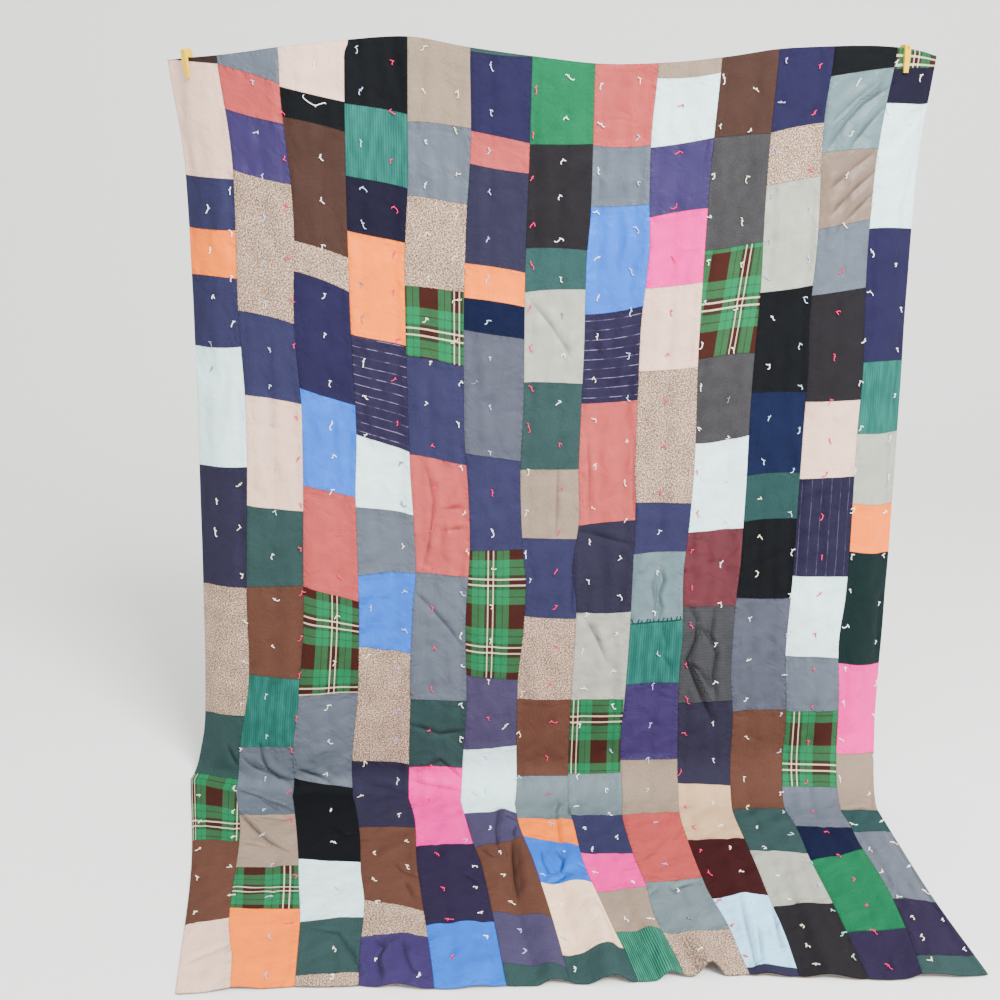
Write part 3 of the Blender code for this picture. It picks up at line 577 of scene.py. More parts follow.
def cloth_middle(u, s):
    """Middle of the cloth, s metres of cloth below the top edge. Arrays of one shape."""
    hang, arc, floor = zone_lengths(u)
    bend = seam_value("bend", u)
    rest = s - hang
    turned = np.clip(rest / bend, 0, QUARTER_TURN)
    on_floor = np.maximum(rest - arc, 0)

    y = FRONT_PLANE_Y + seam_value("back", u) - bend * (1 - np.cos(turned)) - on_floor
    z = BACK_HALF + bend * (1 - np.sin(turned)) + np.maximum(-rest, 0)

    top = seam_value("top_z", u)
    foot = hang + arc
    across = [seam_value(column, u) for column in SEAM_COLUMNS[:7]]
    above = smooth_path((np.zeros_like(s), top - HIGH, top - LOW, top - KNEE, foot), across[:5], s)
    ahead = smooth_path((foot, foot + floor / 2, foot + floor), across[4:], s)
    x = np.where(s < foot, above, ahead)

    hanging = np.clip(1 - (rest + arc) / (2 * arc), 0, 1)
    for fold in rows_of(HANG_FOLDS, HANG_FOLD_COLUMNS):
        y = y - fold["depth"] * bump(u - fold["u"], fold["half"]) * hanging
    to_hem = np.maximum(floor - on_floor, 0)
    lying = np.clip(on_floor / LANDING, 0, 1)
    for fold in rows_of(FLOOR_FOLDS, FLOOR_FOLD_COLUMNS):
        along = 1 - np.clip(to_hem / fold["reach"], 0, 1)
        swell = along * along * (3 - 2 * along)
        z = z + fold["rise"] * bump(u - fold["u"], fold["half"]) * swell * lying
    return np.stack([x, y, z], axis=-1) + np.array(CENTRING)


def cloth_frame(u, s):
    """Middle of the cloth, the way it faces and the way it runs down, at u and s."""
    middle = cloth_middle(u, s)
    # One step inside the quilt's side edges keeps the difference on the cloth.
    near = np.clip(u, TANGENT_STRIP, STRIPS - TANGENT_STRIP)
    across = cloth_middle(near + TANGENT_STRIP, s) - cloth_middle(near - TANGENT_STRIP, s)
    down = cloth_middle(u, s + TANGENT_STEP) - cloth_middle(u, s - TANGENT_STEP)
    face = np.cross(down, across)
    face /= np.linalg.norm(face, axis=-1, keepdims=True)
    down /= np.linalg.norm(down, axis=-1, keepdims=True)
    return middle, face, down


# ------------------------------------------------------------------ relief of the cloth
EDGE_TURN = 6 * MM          # width over which the turned-in edge of the quilt thins
SEAM_FADE = 5 * MM          # width over which the cloth dips to a seam
TIE_REACH = 10 * MM         # radius of the dimple round a tie
PUCKER_REACH = 24 * MM      # how far the fine creases run out from a tie
PUCKER_HEIGHT = 0.8 * MM
PUCKERS = 5                 # fine creases round a tie
LUMPS = 9
LUMP_HEIGHT = 0.9 * MM
SLACK_FOLDS = 10
SLACK_HEIGHT = 0.8 * MM
ROW_DRAW = 2.4 * MM         # the furrow that each tie pulls up and down its row
ROW_HALF = 9 * MM
ROW_REACH = 42 * MM
HEM_CUSP = 4 * MM           # how far the hem is drawn in at each seam
PEG_PLACES = ((60, 41), (1583, 49))     # across the flat quilt, and how far the grip reaches down
PEG_HALF = 8 * MM
PEG_FADE = 30 * MM          # width over which the cloth is pressed flat round a peg
PRESSED = 2.4 * MM          # middle of the quilt to its front face, under a peg
LEAST_FILLING = 0.3 * MM    # what always stays between the middle and the front's inner side
TIE_SCATTER = (2.5 * MM, 5 * MM)        # how much ties stray, across and along their row
TIE_FROM_TOP = 8 * MM       # no tie lies nearer to the top edge
LUMP_LENGTHS = (40, 130)    # millimetres from lump to lump
SLACK_LENGTHS = (32, 80)    # millimetres from fold to fold
SLACK_RUNS = (300, 700)     # millimetres along which a fold comes and goes
SLACK_LEAN = 0.15
ROW_WANDER = 3 * MM         # how far a row's furrow wanders to each side
ROW_WAVE = 12 * MM          # length along which it does so, for each radian of its wave
CREASE_END = 0.3            # share of its depth that a crease has at its two ends
CREASE_SWELL = 3.5          # how fast it reaches its full depth between them
CREASE_GAIN = 1.8           # creases are made this much deeper than their table says
RIDGE_PLACE = 1.6           # the ridge beside a trough, in half widths of the crease
RIDGE_HALF = 1.2
RIDGE_SHARE = 0.6           # height of the ridge as a share of the trough's depth
CROWN_POWER = 0.7           # below 1, the cloth is full over more of a strip's width


def tie_places():
    """Every tie as a dictionary: x and s on the flat quilt, its yarn and its turn."""
    random = np.random.default_rng(7)
    ties = []
    for row in rows_of(TIE_ROWS, TIE_COLUMNS):
        for place, s in enumerate(np.linspace(row["first"], row["last"], row["count"])):
            x = (row["strip"] - 1) * STRIP_WIDTH + row["across"] * MM + random.normal(0, TIE_SCATTER[0])
            s = s * MM + random.normal(0, TIE_SCATTER[1])
            longer = LONG_ENDS if (row["strip"], row["across"], place) == LONG_TIE else 1
            ties.append({"x": x, "s": max(s, TIE_FROM_TOP), "yarn": row["yarn"], "longer": longer,
                         "turn": random.uniform(0, math.tau)})
    return ties


def lumps(x, s):
    """Gentle lumps in the wadding: a few crossing waves with seeded directions."""
    random = np.random.default_rng(3)
    total = np.zeros_like(x)
    for _ in range(LUMPS):
        length = random.uniform(*LUMP_LENGTHS) * MM
        angle = random.uniform(0, math.pi)
        phase = random.uniform(0, math.tau)
        total += np.sin(math.tau * (x * math.cos(angle) + s * math.sin(angle)) / length + phase)
    return LUMP_HEIGHT * total / math.sqrt(LUMPS)


def slack_folds(x, s):
    """Shallow folds that run down the cloth and come and go along it."""
    random = np.random.default_rng(5)
    total = np.zeros_like(x)
    for _ in range(SLACK_FOLDS):
        length = random.uniform(*SLACK_LENGTHS) * MM
        lean = random.normal(0, SLACK_LEAN)
        fade = random.uniform(*SLACK_RUNS) * MM
        phase, start = random.uniform(0, math.tau, 2)
        total += np.sin(math.tau * (x + lean * s) / length + phase) * np.sin(math.tau * s / fade + start)
    return SLACK_HEIGHT * total / math.sqrt(SLACK_FOLDS)


def crease_distance(x, s, line):
    """Distance from a crease's line, negative on one side, and how full the crease is."""
    nearest = np.full_like(x, 1e3)
    signed = np.full_like(x, 1e3)
    share = np.zeros_like(x)
    points = np.array(line) * MM
    steps = np.hypot(*np.diff(points, axis=0).T)
    reached = np.concatenate([[0], np.cumsum(steps)])
    for index, ((ax, as_), (bx, bs)) in enumerate(zip(points, points[1:])):
        dx, ds = (bx - ax) / steps[index], (bs - as_) / steps[index]
        t = np.clip((x - ax) * dx + (s - as_) * ds, 0, steps[index])
        distance = np.hypot(x - ax - t * dx, s - as_ - t * ds)
        side = np.where((x - ax) * ds - (s - as_) * dx < 0, -1, 1)
        closer = distance < nearest
        nearest = np.where(closer, distance, nearest)
        signed = np.where(closer, distance * side, signed)
        share = np.where(closer, (reached[index] + t) / reached[-1], share)
    return signed, np.minimum(1, CREASE_END + CREASE_SWELL * share * (1 - share))


def crease_relief(x, s, depth, half, line):
    """Height of one crease at x and s: a trough along the line and a ridge beside it."""
    signed, full = crease_distance(x, s, line)
    trough = np.exp(-(signed / (half * MM)) ** 2)
    ridge = np.exp(-((signed - RIDGE_PLACE * half * MM) / (RIDGE_HALF * half * MM)) ** 2)
    return CREASE_GAIN * depth * MM * (RIDGE_SHARE * ridge - trough) * full


def crease_shade_lines(x, s):
    """Distance from the nearest crease's line, and how strong its painted shade is there."""
    signed = np.full_like(x, 1.0)
    strength = np.zeros_like(x)
    for depth, _, line in CREASES:
        distance, full = crease_distance(x, s, line)
        closer = np.abs(distance) < np.abs(signed)
        # how strong the crease's painted shade is here
        drawn = min(1, depth / DEEPEST_CREASE) * full * np.exp(-(distance / CREASE_FADE) ** 2)
        signed = np.where(closer, distance, signed)
        strength = np.where(closer, drawn, strength)
    return signed, strength


def peg_press(x, s):
    """1 where a peg grips the cloth, falling to 0 round it."""
    share = np.zeros_like(x)
    for place, grip in PEG_PLACES:
        aside = np.maximum(np.abs(x - place * MM) - PEG_HALF, 0)
        below = np.maximum(s - grip * MM, 0)
        share = np.maximum(share, np.exp(-(np.hypot(aside, below) / PEG_FADE) ** 2))
    return share


def creases(x, s):
    """Height of all the creases, which are in the front face alone."""
    return sum(crease_relief(x, s, *crease) for crease in CREASES)


def sway(x, s):
    """How far the whole quilt, front and back, stands off its smooth shape."""
    height = slack_folds(x, s)
    for rise, half, reach, place, along in MOUNDS:
        across = (x - place * MM) / (half * MM)
        height += rise * MM * np.exp(-across ** 2 - ((s - along * MM) / (reach * MM)) ** 2)
    return height * (1 - peg_press(x, s))


def tie_relief(x, s, ties, dip):
    """Height of the dimples and fine puckers that the ties draw into the cloth."""
    height = np.zeros_like(x)
    low, high = x.min() - 2 * PUCKER_REACH, x.max() + 2 * PUCKER_REACH
    for tie in ties:
        if not low < tie["x"] < high:
            continue
        near = np.abs(s - tie["s"]) < 2 * ROW_REACH
        dx = x[near] - tie["x"]
        ds = s[near] - tie["s"]
        r = np.hypot(dx, ds)
        fine = np.cos(PUCKERS * np.arctan2(ds, dx) + tie["turn"]) * np.exp(-(r / PUCKER_REACH) ** 2)
        height[near] += PUCKER_HEIGHT * fine * (1 - np.exp(-(r / TIE_REACH) ** 2))
        height[near] -= dip * np.exp(-(r / TIE_REACH) ** 2)
        bent = dx - ROW_WANDER * np.sin(ds / ROW_WAVE + tie["turn"])
        height[near] -= ROW_DRAW * np.exp(-(bent / ROW_HALF) ** 2 - (ds / ROW_REACH) ** 2)
    return height


def edge_share(x, s, length):
    """0 on the quilt's outer edges, rising to 1 a little inside them."""
    inside = np.minimum(np.minimum(x, QUILT_WIDTH - x), np.minimum(s, length - s))
    return 1 - np.exp(-np.maximum(inside, 0) / EDGE_TURN)


def hem_length(u):
    """Length of the cloth to its hem, which is drawn in a little at each seam."""
    return cloth_length(u) - HEM_CUSP * (1 - np.abs(np.sin(math.pi * u)) ** 0.5)


def swayed_cloth(x, s):
    """Middle of the quilt with its sway, and the way it faces. It stays off the ground."""
    middle, face, down = cloth_frame(x / STRIP_WIDTH, s)
    moved = middle + face * sway(x, s)[..., None]
    moved[..., 2] = np.maximum(moved[..., 2], BACK_HALF)
    return moved, face, down


def front_rise(x, s, swell, ties, sizes):
    """Middle of the quilt to its front face. `swell` is how full the cloth is, 0 to 1."""
    edge = edge_share(x, s, hem_length(x / STRIP_WIDTH))
    rise = sizes.seam_rise + (sizes.puff_rise - sizes.seam_rise) * swell * edge
    rise = rise + (lumps(x, s) * swell + tie_relief(x, s, ties, sizes.tie_dip) + creases(x, s)) * edge
    rise = rise + (np.minimum(rise, PRESSED) - rise) * peg_press(x, s)
    return np.maximum(rise, sizes.sheet + LEAST_FILLING)


# ------------------------------------------------------------------ meshes
SHARP_ANGLE = math.radians(50)


def new_object(name, data):
    made = bpy.data.objects.new(name, data)
    bpy.context.scene.collection.objects.link(made)
    return made


def closed_sheet(name, columns, rows):
    """A grid thickened into a closed sheet, and each vertex's column, row and layer."""
    mesh = bmesh.new()
    bmesh.ops.create_grid(mesh, x_segments=columns, y_segments=rows, size=0.5)
    lifted = bmesh.ops.extrude_face_region(mesh, geom=mesh.faces[:])
    upper = [part for part in lifted["geom"] if isinstance(part, bmesh.types.BMVert)]
    bmesh.ops.translate(mesh, verts=upper, vec=(0, 0, 1))
    bmesh.ops.recalc_face_normals(mesh, faces=mesh.faces[:])
    data = bpy.data.meshes.new(name)
    mesh.to_mesh(data)
    mesh.free()
    places = np.empty(3 * len(data.vertices))
    data.vertices.foreach_get("co", places)
    x, y, z = places.reshape(-1, 3).T
    column = np.rint((x + 0.5) * columns).astype(int)
    row = np.rint((0.5 - y) * rows).astype(int)
    return data, column, row, z > 0.5


def loop_vertices(data):
    """The vertices of each four-sided face, one row a face."""
    corners = np.empty(len(data.loops), dtype=int)
    data.loops.foreach_get("vertex_index", corners)
    return corners.reshape(-1, 4)


def write_uv(data, name, u, v):
    layer = data.uv_layers.new(name=name)
    layer.data.foreach_set("uv", np.stack([u, v], axis=-1).astype(np.float32).ravel())


def place_vertices(data, places):
    data.vertices.foreach_set("co", places.astype(np.float32).ravel())
    data.update()
    data.shade_smooth()
    data.set_sharp_from_angle(angle=SHARP_ANGLE)


# How a closed sheet's faces are laid out for baking: the outer side at full width, a
# narrow band for the hidden inner side, and slivers for the edges between them.
BAKE_SLIVER = 2 * MM
BAKE_GAP = 4 * MM


def bake_places(x, s, outer, width, inner_width):
    """Places of each face's corners, one row a face, on one unrolled sheet."""
    side = outer.mean(axis=1, keepdims=True)
    rim = (side > 0) & (side < 1)
    on_left = rim & (x.max(axis=1, keepdims=True) < 0.5 * MM)
    on_right = rim & (x.min(axis=1, keepdims=True) > width - 0.5 * MM)
    on_end = rim & ~on_left & ~on_right
    inner_u = width + BAKE_SLIVER + (1 - x / width) * inner_width
    u = np.where(outer, x, inner_u)
    u = np.where(on_left & outer, width + 2 * BAKE_SLIVER + inner_width, u)
    u = np.where(on_end, x, u)
    toward = np.where(s.mean(axis=1, keepdims=True) < 0.5, -1, 1)
    v = np.where(on_end & ~outer, s + toward * BAKE_SLIVER, s)
    return u, v


# ------------------------------------------------------------------ patchwork strips
SEAM_ROW_PULL = 0.45        # how far a patch's outer mesh rows move towards its seams
SEAM_BOW = 2.2 * MM         # how much a cross seam usually bows
LEAST_PATCH = 1.0 * MM      # a sliver of a patch is never narrower
EVEN_COLUMNS = 0.55         # share of a strip's mesh columns that is evenly spaced
CLOSE_COLUMNS = 0.45        # share that crowds towards its long seams
SIDE_SHARE = 0.45           # share of a strip's fullness that lasts up to its long seams
CROWN_SHARE = 0.55          # share that is highest along its middle
CROSS_LEAST = 0.6           # share that is left in a cross seam
CROSS_SHARE = 0.4


def strip_edges(number):
    """Patch edges of a strip, from the top, along its left and its right seam."""
    left, right = [0.0], [0.0]
    reached = 0
    for patch in rows_of(CUTTING_LIST[number - 1], PATCH_COLUMNS):
        if patch["length"] is None:
            continue
        reached += patch["length"]
        left.append((reached - patch["slant"] / 2) * MM)
        right.append((reached + patch["slant"] / 2) * MM)
    return np.array(left), np.array(right)


def strip_rows(number, row_step):
    """For each mesh row of a strip: the patch it starts in and how far into the patch."""
    left, right = strip_edges(number)
    starts = 0.5 * (left + right)
    ends = np.append(starts[1:], CUT_LENGTH)
    patch, share = [], []
    for index, length in enumerate(ends - starts):
        count = max(2, round(length / row_step))
        # The first and last rows of a patch lie close to its seams.
        steps = np.linspace(0, 1, count + 1)
        steps = steps - SEAM_ROW_PULL / (math.tau * count) * np.sin(math.tau * np.minimum(
            np.minimum(steps, 1 - steps) * count, 1)) * np.where(steps < 0.5, 1, -1)
        patch += [index] * count
        share += list(steps[:-1])
    return np.array(patch + [len(starts) - 1]), np.array(share + [1.0])


def cross_seams(number, f):
    """Top edge and cross seams of a strip, one a row, at the shares f of its width."""
    left, right = strip_edges(number)
    bows = np.random.default_rng(40 + number).normal(0, SEAM_BOW, len(left))
    bows[0] = 0
    starts = left[:, None] + (right - left)[:, None] * f + 4 * bows[:, None] * f * (1 - f)
    for index in range(1, len(starts)):
        starts[index] = np.maximum(starts[index], starts[index - 1] + LEAST_PATCH)
    return starts


def strip_lengths(number, patch, share, f):
    """Distance from the top edge, and from the nearest cross seam, at row and place f."""
    starts = cross_seams(number, f)
    ends = np.vstack([starts[1:], hem_length(number - 1 + f)])
    start, end = starts[patch], ends[patch]
    s = start + (end - start) * share[:, None]
    return s, np.minimum(s - start, end - s)


def seam_stray(seam, s):
    """How far a long seam lies to the right of its even place, s metres down the cloth."""
    if seam in (0, STRIPS):
        return np.zeros_like(s)
    knots, strays = np.array(SEAM_STRAYS[seam - 1]).T * MM
    return smooth_path(knots, strays, np.clip(s, knots[0], knots[-1]))


def strip_across(number, f, s):
    """Distance from a strip's even left side, between seams that stray."""
    return f * STRIP_WIDTH + (1 - f) * seam_stray(number - 1, s) + f * seam_stray(number, s)


def fullness(f, to_cross):
    """How full the cloth of a strip is, 0 to 1, f of the way across it."""
    side = 1 - np.exp(-np.minimum(f, 1 - f) * STRIP_WIDTH / SEAM_FADE)
    cross = 1 - np.exp(-to_cross / SEAM_FADE)
    crown = np.maximum(np.sin(math.pi * f), 0) ** CROWN_POWER
    return (SIDE_SHARE * side + CROWN_SHARE * crown) * (CROSS_LEAST + CROSS_SHARE * cross)


def sew_strip(number, ties, sizes):
    """One strip of patches as a closed sheet on the front of the quilt."""
    fabrics = [patch["fabric"] for patch in rows_of(CUTTING_LIST[number - 1], PATCH_COLUMNS)]
    patch, share = strip_rows(number, sizes.row_step)
    even = np.linspace(0, 1, sizes.strip_cells + 1)
    f = EVEN_COLUMNS * even + CLOSE_COLUMNS * (0.5 - 0.5 * np.cos(math.pi * even))
    s, to_cross = strip_lengths(number, patch, share, f)
    across = strip_across(number, f, s)
    x = (number - 1) * STRIP_WIDTH + across
    to_side = np.broadcast_to(np.minimum(f, 1 - f) * STRIP_WIDTH, s.shape)
    rise = front_rise(x, s, fullness(f, to_cross), ties, sizes)
    middle, face, _ = swayed_cloth(x, s)
    front = middle + face * rise[..., None]
    under = middle + face * (rise - sizes.sheet)[..., None]
    data, column, row, outer = closed_sheet(f"patch_strip_{number:02d}", sizes.strip_cells, len(patch) - 1)
    place_vertices(data, np.where(outer[:, None], front[row, column], under[row, column]))

    corners = loop_vertices(data)
    corner_row, corner_column = row[corners], column[corners]
    face_patch = patch[corner_row.min(axis=1)]
    grain = s.mean(axis=1)
    cut_across = across[corner_row, corner_column]
    write_cloth_uv(data, number, cut_across, grain[corner_row], face_patch)
    # Distances to the seams: the material paints shade and puckers near them.
    write_uv(data, "seams", to_side[corner_row, corner_column], to_cross[corner_row, corner_column])
    # Distance to the nearest crease, and how strong its painted shade is, for the material.
    from_crease, crease_shade_strength = crease_shade_lines(x, s)
    write_uv(data, "creases", from_crease[corner_row, corner_column],
             crease_shade_strength[corner_row, corner_column])
    write_strip_bake(data, f[corner_column] * STRIP_WIDTH, s[corner_row, corner_column], outer[corners])

    used = list(dict.fromkeys(fabrics))
    for fabric in used:
        data.materials.append(fabric_material(fabric))
    slots = np.array([used.index(fabric) for fabric in fabrics])
    data.polygons.foreach_set("material_index", slots[face_patch].astype(np.int32))
    return new_object(f"patch_strip_{number:02d}", data)


# The blanket stitch along the top of one corduroy patch.
STITCH_STRIP = 9
STITCH_SEAM = 8             # cross seam, counted from the top edge
STITCH_TEETH = 12
STITCH_REACH = 8 * MM       # how far a tooth reaches up over the patch above
STITCH_RADIUS = 1.4 * MM


def stitch_point(f, up, ties, sizes):
    """A point on the cloth, f of the way across and up from the seam, and the way it faces."""
    f = np.atleast_1d(f)
    s = cross_seams(STITCH_STRIP, f)[STITCH_SEAM] - up
    x = (STITCH_STRIP - 1) * STRIP_WIDTH + strip_across(STITCH_STRIP, f, s)
    rise = front_rise(x, s, fullness(f, np.abs(up)), ties, sizes) + 0.6 * STITCH_RADIUS
    middle, face, _ = swayed_cloth(x, s)
    return (middle + face * rise[..., None])[0], face[0]


def make_stitches(ties, sizes):
    """Teeth of thick thread over the seam, with a strand along the seam from tooth to tooth."""
    random = np.random.default_rng(21)
    template, unit = strand_template()
    places = np.linspace(0.05, 0.95, STITCH_TEETH) + random.normal(0, 0.008, STITCH_TEETH)
    laid = []
    for index, f in enumerate(places):
        reach = STITCH_REACH * random.uniform(0.7, 1.3)
        lean = random.normal(0, 0.015)
        paths = [[(f, -1 * MM), (f, 0.3 * reach), (f + lean, 0.7 * reach), (f + 1.5 * lean, reach)]]
        if index:
            before = places[index - 1]
            paths.append([(before + (f - before) * share, 0.0) for share in (0, 0.33, 0.67, 1)])
        for path in paths:
            points, faces = zip(*(stitch_point(place, up, ties, sizes) for place, up in path))
            laid.append(lay_strand(np.array(points), faces[0], STITCH_RADIUS, unit))
    material = thread_material("dark teal cotton thread", bpy.context.scene.quilt_others.stitch)
    return join_strands("blanket_stitch", template, laid, material)


def write_cloth_uv(data, number, across, grain, face_patch):
    """The cloth's own coordinates in metres, shifted from patch to patch."""
    random = np.random.default_rng(number)
    shift = random.uniform(0, 3, (face_patch.max() + 1, 2))
    lean = np.zeros(face_patch.max() + 1)
    stretch = np.ones(face_patch.max() + 1)
    for (strip, patch), (place, along, slope, longer) in TARTAN_CROSSINGS.items():
        if strip == number:
            shift[patch - 1] = (-place * MM, -along * MM)
            lean[patch - 1] = slope
            stretch[patch - 1] = longer
    v = (grain + shift[face_patch, 1][:, None]) / stretch[face_patch][:, None]
    u = across + shift[face_patch, 0][:, None] - lean[face_patch][:, None] * v
    write_uv(data, "cloth", u, v)


BAKE_LENGTHS = 4            # lengths that a strip is cut into, side by side, for baking
BAKE_INNER = 18 * MM        # width kept for a strip's hidden inner side
BAKE_REACH = 2.56           # longer than any strip


def write_strip_bake(data, x, s, outer):
    """A strip cut into lengths side by side, so that its bake has square, fine texels."""
    length = BAKE_REACH / BAKE_LENGTHS
    pitch = STRIP_WIDTH + 2 * BAKE_SLIVER + BAKE_INNER + BAKE_GAP
    piece = np.clip(np.floor(s.mean(axis=1, keepdims=True) / length), 0, BAKE_LENGTHS - 1)
    u, v = bake_places(x, s, outer, STRIP_WIDTH, BAKE_INNER)
    side = max(pitch * BAKE_LENGTHS, length + 6 * BAKE_GAP)
    write_uv(data, "OFBake", (u + piece * pitch + BAKE_SLIVER) / side,
             (v - piece * length + 3 * BAKE_GAP) / side)


BACKING_PULL = 0.35         # how much the backing's mesh rows crowd towards its two ends
BACKING_CLEAR = 0.1 * MM    # least gap between the backing and the middle of the quilt
BACKING_DRAW = 0.4          # share of the front's lumps and dimples that show in the back
BAKE_BACKING_INNER = 0.7    # width kept for the backing's hidden inner side, for baking
BAKE_BACKING_SIDE = 2.6     # side of the square that the backing is baked in


def make_backing(ties, sizes):
    """The plain backing as a closed sheet on the back of the quilt."""
    columns = round(QUILT_WIDTH / sizes.backing_cell)
    rows = round(CUT_LENGTH / sizes.backing_cell)
    u = np.broadcast_to(np.linspace(0, STRIPS, columns + 1), (rows + 1, columns + 1)).copy()
    share = np.linspace(0, 1, rows + 1)[:, None]
    share = share - BACKING_PULL / (math.tau) * np.sin(math.tau * share)
    s = hem_length(u) * share
    x = u * STRIP_WIDTH
    edge = edge_share(x, s, hem_length(u))
    drop = sizes.sheet + BACKING_CLEAR + (BACK_HALF - sizes.sheet) * edge
    drawn_in = BACKING_DRAW * (lumps(x, s) + tie_relief(x, s, ties, sizes.tie_dip)) * (1 - peg_press(x, s))
    drop = np.maximum(drop + drawn_in * edge, sizes.sheet + BACKING_CLEAR)
    middle, face, _ = swayed_cloth(x, s)
    back = middle - face * drop[..., None]
    inside = middle - face * (drop - sizes.sheet)[..., None]
    # The backing never dips below the ground it lies on.
    back[..., 2] = np.maximum(back[..., 2], 0.0)
    inside[..., 2] = np.maximum(inside[..., 2], sizes.sheet)

    data, column, row, outer = closed_sheet("backing", columns, rows)
    place_vertices(data, np.where(outer[:, None], inside[row, column], back[row, column]))
    corners = loop_vertices(data)
    across = x[row[corners], column[corners]]
    along = s[row[corners], column[corners]]
    write_uv(data, "cloth", across, along)
    # Distance to the quilt's edges: the material paints shade and puckers near them.
    to_edge = np.minimum(np.minimum(across, QUILT_WIDTH - across), along)
    write_uv(data, "seams", to_edge, to_edge)
    bake_u, bake_v = bake_places(across, along, ~outer[corners], QUILT_WIDTH, BAKE_BACKING_INNER)
    write_uv(data, "OFBake", (bake_u + BAKE_GAP) / BAKE_BACKING_SIDE,
             (bake_v + BAKE_GAP) / BAKE_BACKING_SIDE)
    data.materials.append(fabric_material("backing"))
    return new_object("backing", data)


# ------------------------------------------------------------------ yarn ties
STRAND_SIDES = 6
STRAND_RINGS = 7
CURVE_STEP = 0.02           # share of a strand over which its direction is taken


def strand_template():
    """A straight strand one unit long, a capped cone cut into rings, and its vertices."""
    mesh = bmesh.new()
    bmesh.ops.create_cone(mesh, segments=STRAND_SIDES, radius1=1, radius2=1, depth=1,
                          cap_ends=True, cap_tris=False)
    upright = [edge for edge in mesh.edges
               if abs(edge.verts[0].co.z - edge.verts[1].co.z) > 0.5]
    bmesh.ops.subdivide_edges(mesh, edges=upright, cuts=STRAND_RINGS - 2, use_grid_fill=True)
    data = bpy.data.meshes.new("strand")
    mesh.to_mesh(data)
    mesh.free()
    unit = np.empty(3 * len(data.vertices))
    data.vertices.foreach_get("co", unit)
    return data, unit.reshape(-1, 3)


def join_strands(name, template, laid, material):
    """One object of many strands, whose laid out vertices are given strand by strand."""
    joined = bmesh.new()
    for _ in laid:
        joined.from_mesh(template)
    data = bpy.data.meshes.new(name)
    joined.to_mesh(data)
    joined.free()
    bpy.data.meshes.remove(template)
    place_vertices(data, np.concatenate(laid))
    data.materials.append(material)
    return new_object(name, data)


def curve_point(controls, t):
    """Points of a cubic curve through four controls, at the shares t."""
    a, b, c, d = controls
    t = t[:, None]
    return (1 - t) ** 3 * a + 3 * t * (1 - t) ** 2 * b + 3 * t * t * (1 - t) * c + t ** 3 * d


def lay_strand(controls, up, radius, template):
    """The template's vertices laid along a curve."""
    t = template[:, 2] + 0.5
    place = curve_point(controls, t)
    after = curve_point(controls, np.minimum(t + CURVE_STEP, 1 + CURVE_STEP))
    ahead = after - curve_point(controls, t - CURVE_STEP)
    ahead /= np.linalg.norm(ahead, axis=1, keepdims=True)
    side = np.cross(ahead, up)
    side /= np.linalg.norm(side, axis=1, keepdims=True)
    top = np.cross(side, ahead)
    return place + radius * (template[:, :1] * side + template[:, 1:2] * top)


def tie_strands(random, tail, longer):
    """Cubic curves of one tie, two bent tails and a knot, across, down and off the cloth.

    In millimetres. Most tails hang, and the second is often a short stub. Long ones lie level.
    """
    strands = []
    first = random.normal(QUARTER_TURN, 0.6)
    second = first + random.choice((-1, 1)) * random.uniform(1.2, 3.0)
    lengths = tail * random.uniform(0.7, 1.5), tail * random.uniform(0.3, 0.9)
    if longer > 1:
        first, second = -0.35, math.pi + 0.5
        lengths = 0.7 * longer * tail, longer * tail
    for turn, length in zip((first, second), lengths):
        curl = random.choice((-1, 1)) * random.uniform(0.1, 0.7) * length
        ahead = np.array([math.cos(turn), math.sin(turn), 0.0]) * length
        aside = np.array([-math.sin(turn), math.cos(turn), 0.0]) * curl
        strands.append(np.array([
            (0, 0, 0.8), 0.4 * ahead - 0.1 * aside + (0, 0, 3.4), 1.05 * ahead + 0.1 * aside + (0, 0, 2.8),
            0.85 * ahead + 0.8 * aside + (0, 0.5, 1.4 + abs(random.normal(0, 1.0)))]))
    cross = first + QUARTER_TURN
    over = np.array([math.cos(cross), math.sin(cross), 0.0])
    strands.append(np.array([over * -2.0 + (0, 0, -0.4), over * -1.7 + (0, 0, 4.0),
                             over * 1.7 + (0, 0, 4.0), over * 2.0 + (0, 0, -0.4)]))
    return strands


def tie_yarn(yarn, ties, rise_at, sizes):
    """All ties of one yarn, joined into one mesh."""
    template, unit = strand_template()
    random = np.random.default_rng(sum(map(ord, yarn)))
    laid = []
    for tie in ties:
        x, s = np.array([tie["x"]]), np.array([tie["s"]])
        middle, face, down = (axis[0] for axis in swayed_cloth(x, s))
        across = np.cross(down, face) * -1
        base = middle + face * rise_at(tie)
        axes = np.stack([across, down, face])
        for controls in tie_strands(random, sizes.yarn_tail / MM, tie["longer"]):
            world = base + controls * MM @ axes
            laid.append(lay_strand(world, face, sizes.yarn_radius * random.uniform(0.85, 1.15), unit))
    material = thread_material(f"{yarn} spun wool yarn", getattr(bpy.context.scene.quilt_yarns, yarn))
    return join_strands(f"ties_{yarn}", template, laid, material)


# ------------------------------------------------------------------ materials
NOISE_SPAN = (0.3, 0.7)     # a noise mostly stays between these


def add_node(tree, kind, links, **settings):
    """Adds a shader node with its settings. Links give an input a value or an output."""
    made = tree.nodes.new("ShaderNode" + kind)
    for name, value in settings.items():
        setattr(made, name, value)
    for name, value in links.items():
        if isinstance(value, bpy.types.NodeSocket):
            tree.links.new(value, made.inputs[name])
        else:
            made.inputs[name].default_value = value
    return made


def new_material(name, roughness, specular):
    """A material with a Principled shader, its node tree and the shader."""
    material = bpy.data.materials.new(name)
    material.use_nodes = True
    tree = material.node_tree
    shader = tree.nodes["Principled BSDF"]
    shader.inputs["Roughness"].default_value = roughness
    shader.inputs["Specular IOR Level"].default_value = specular
    return material, tree, shader


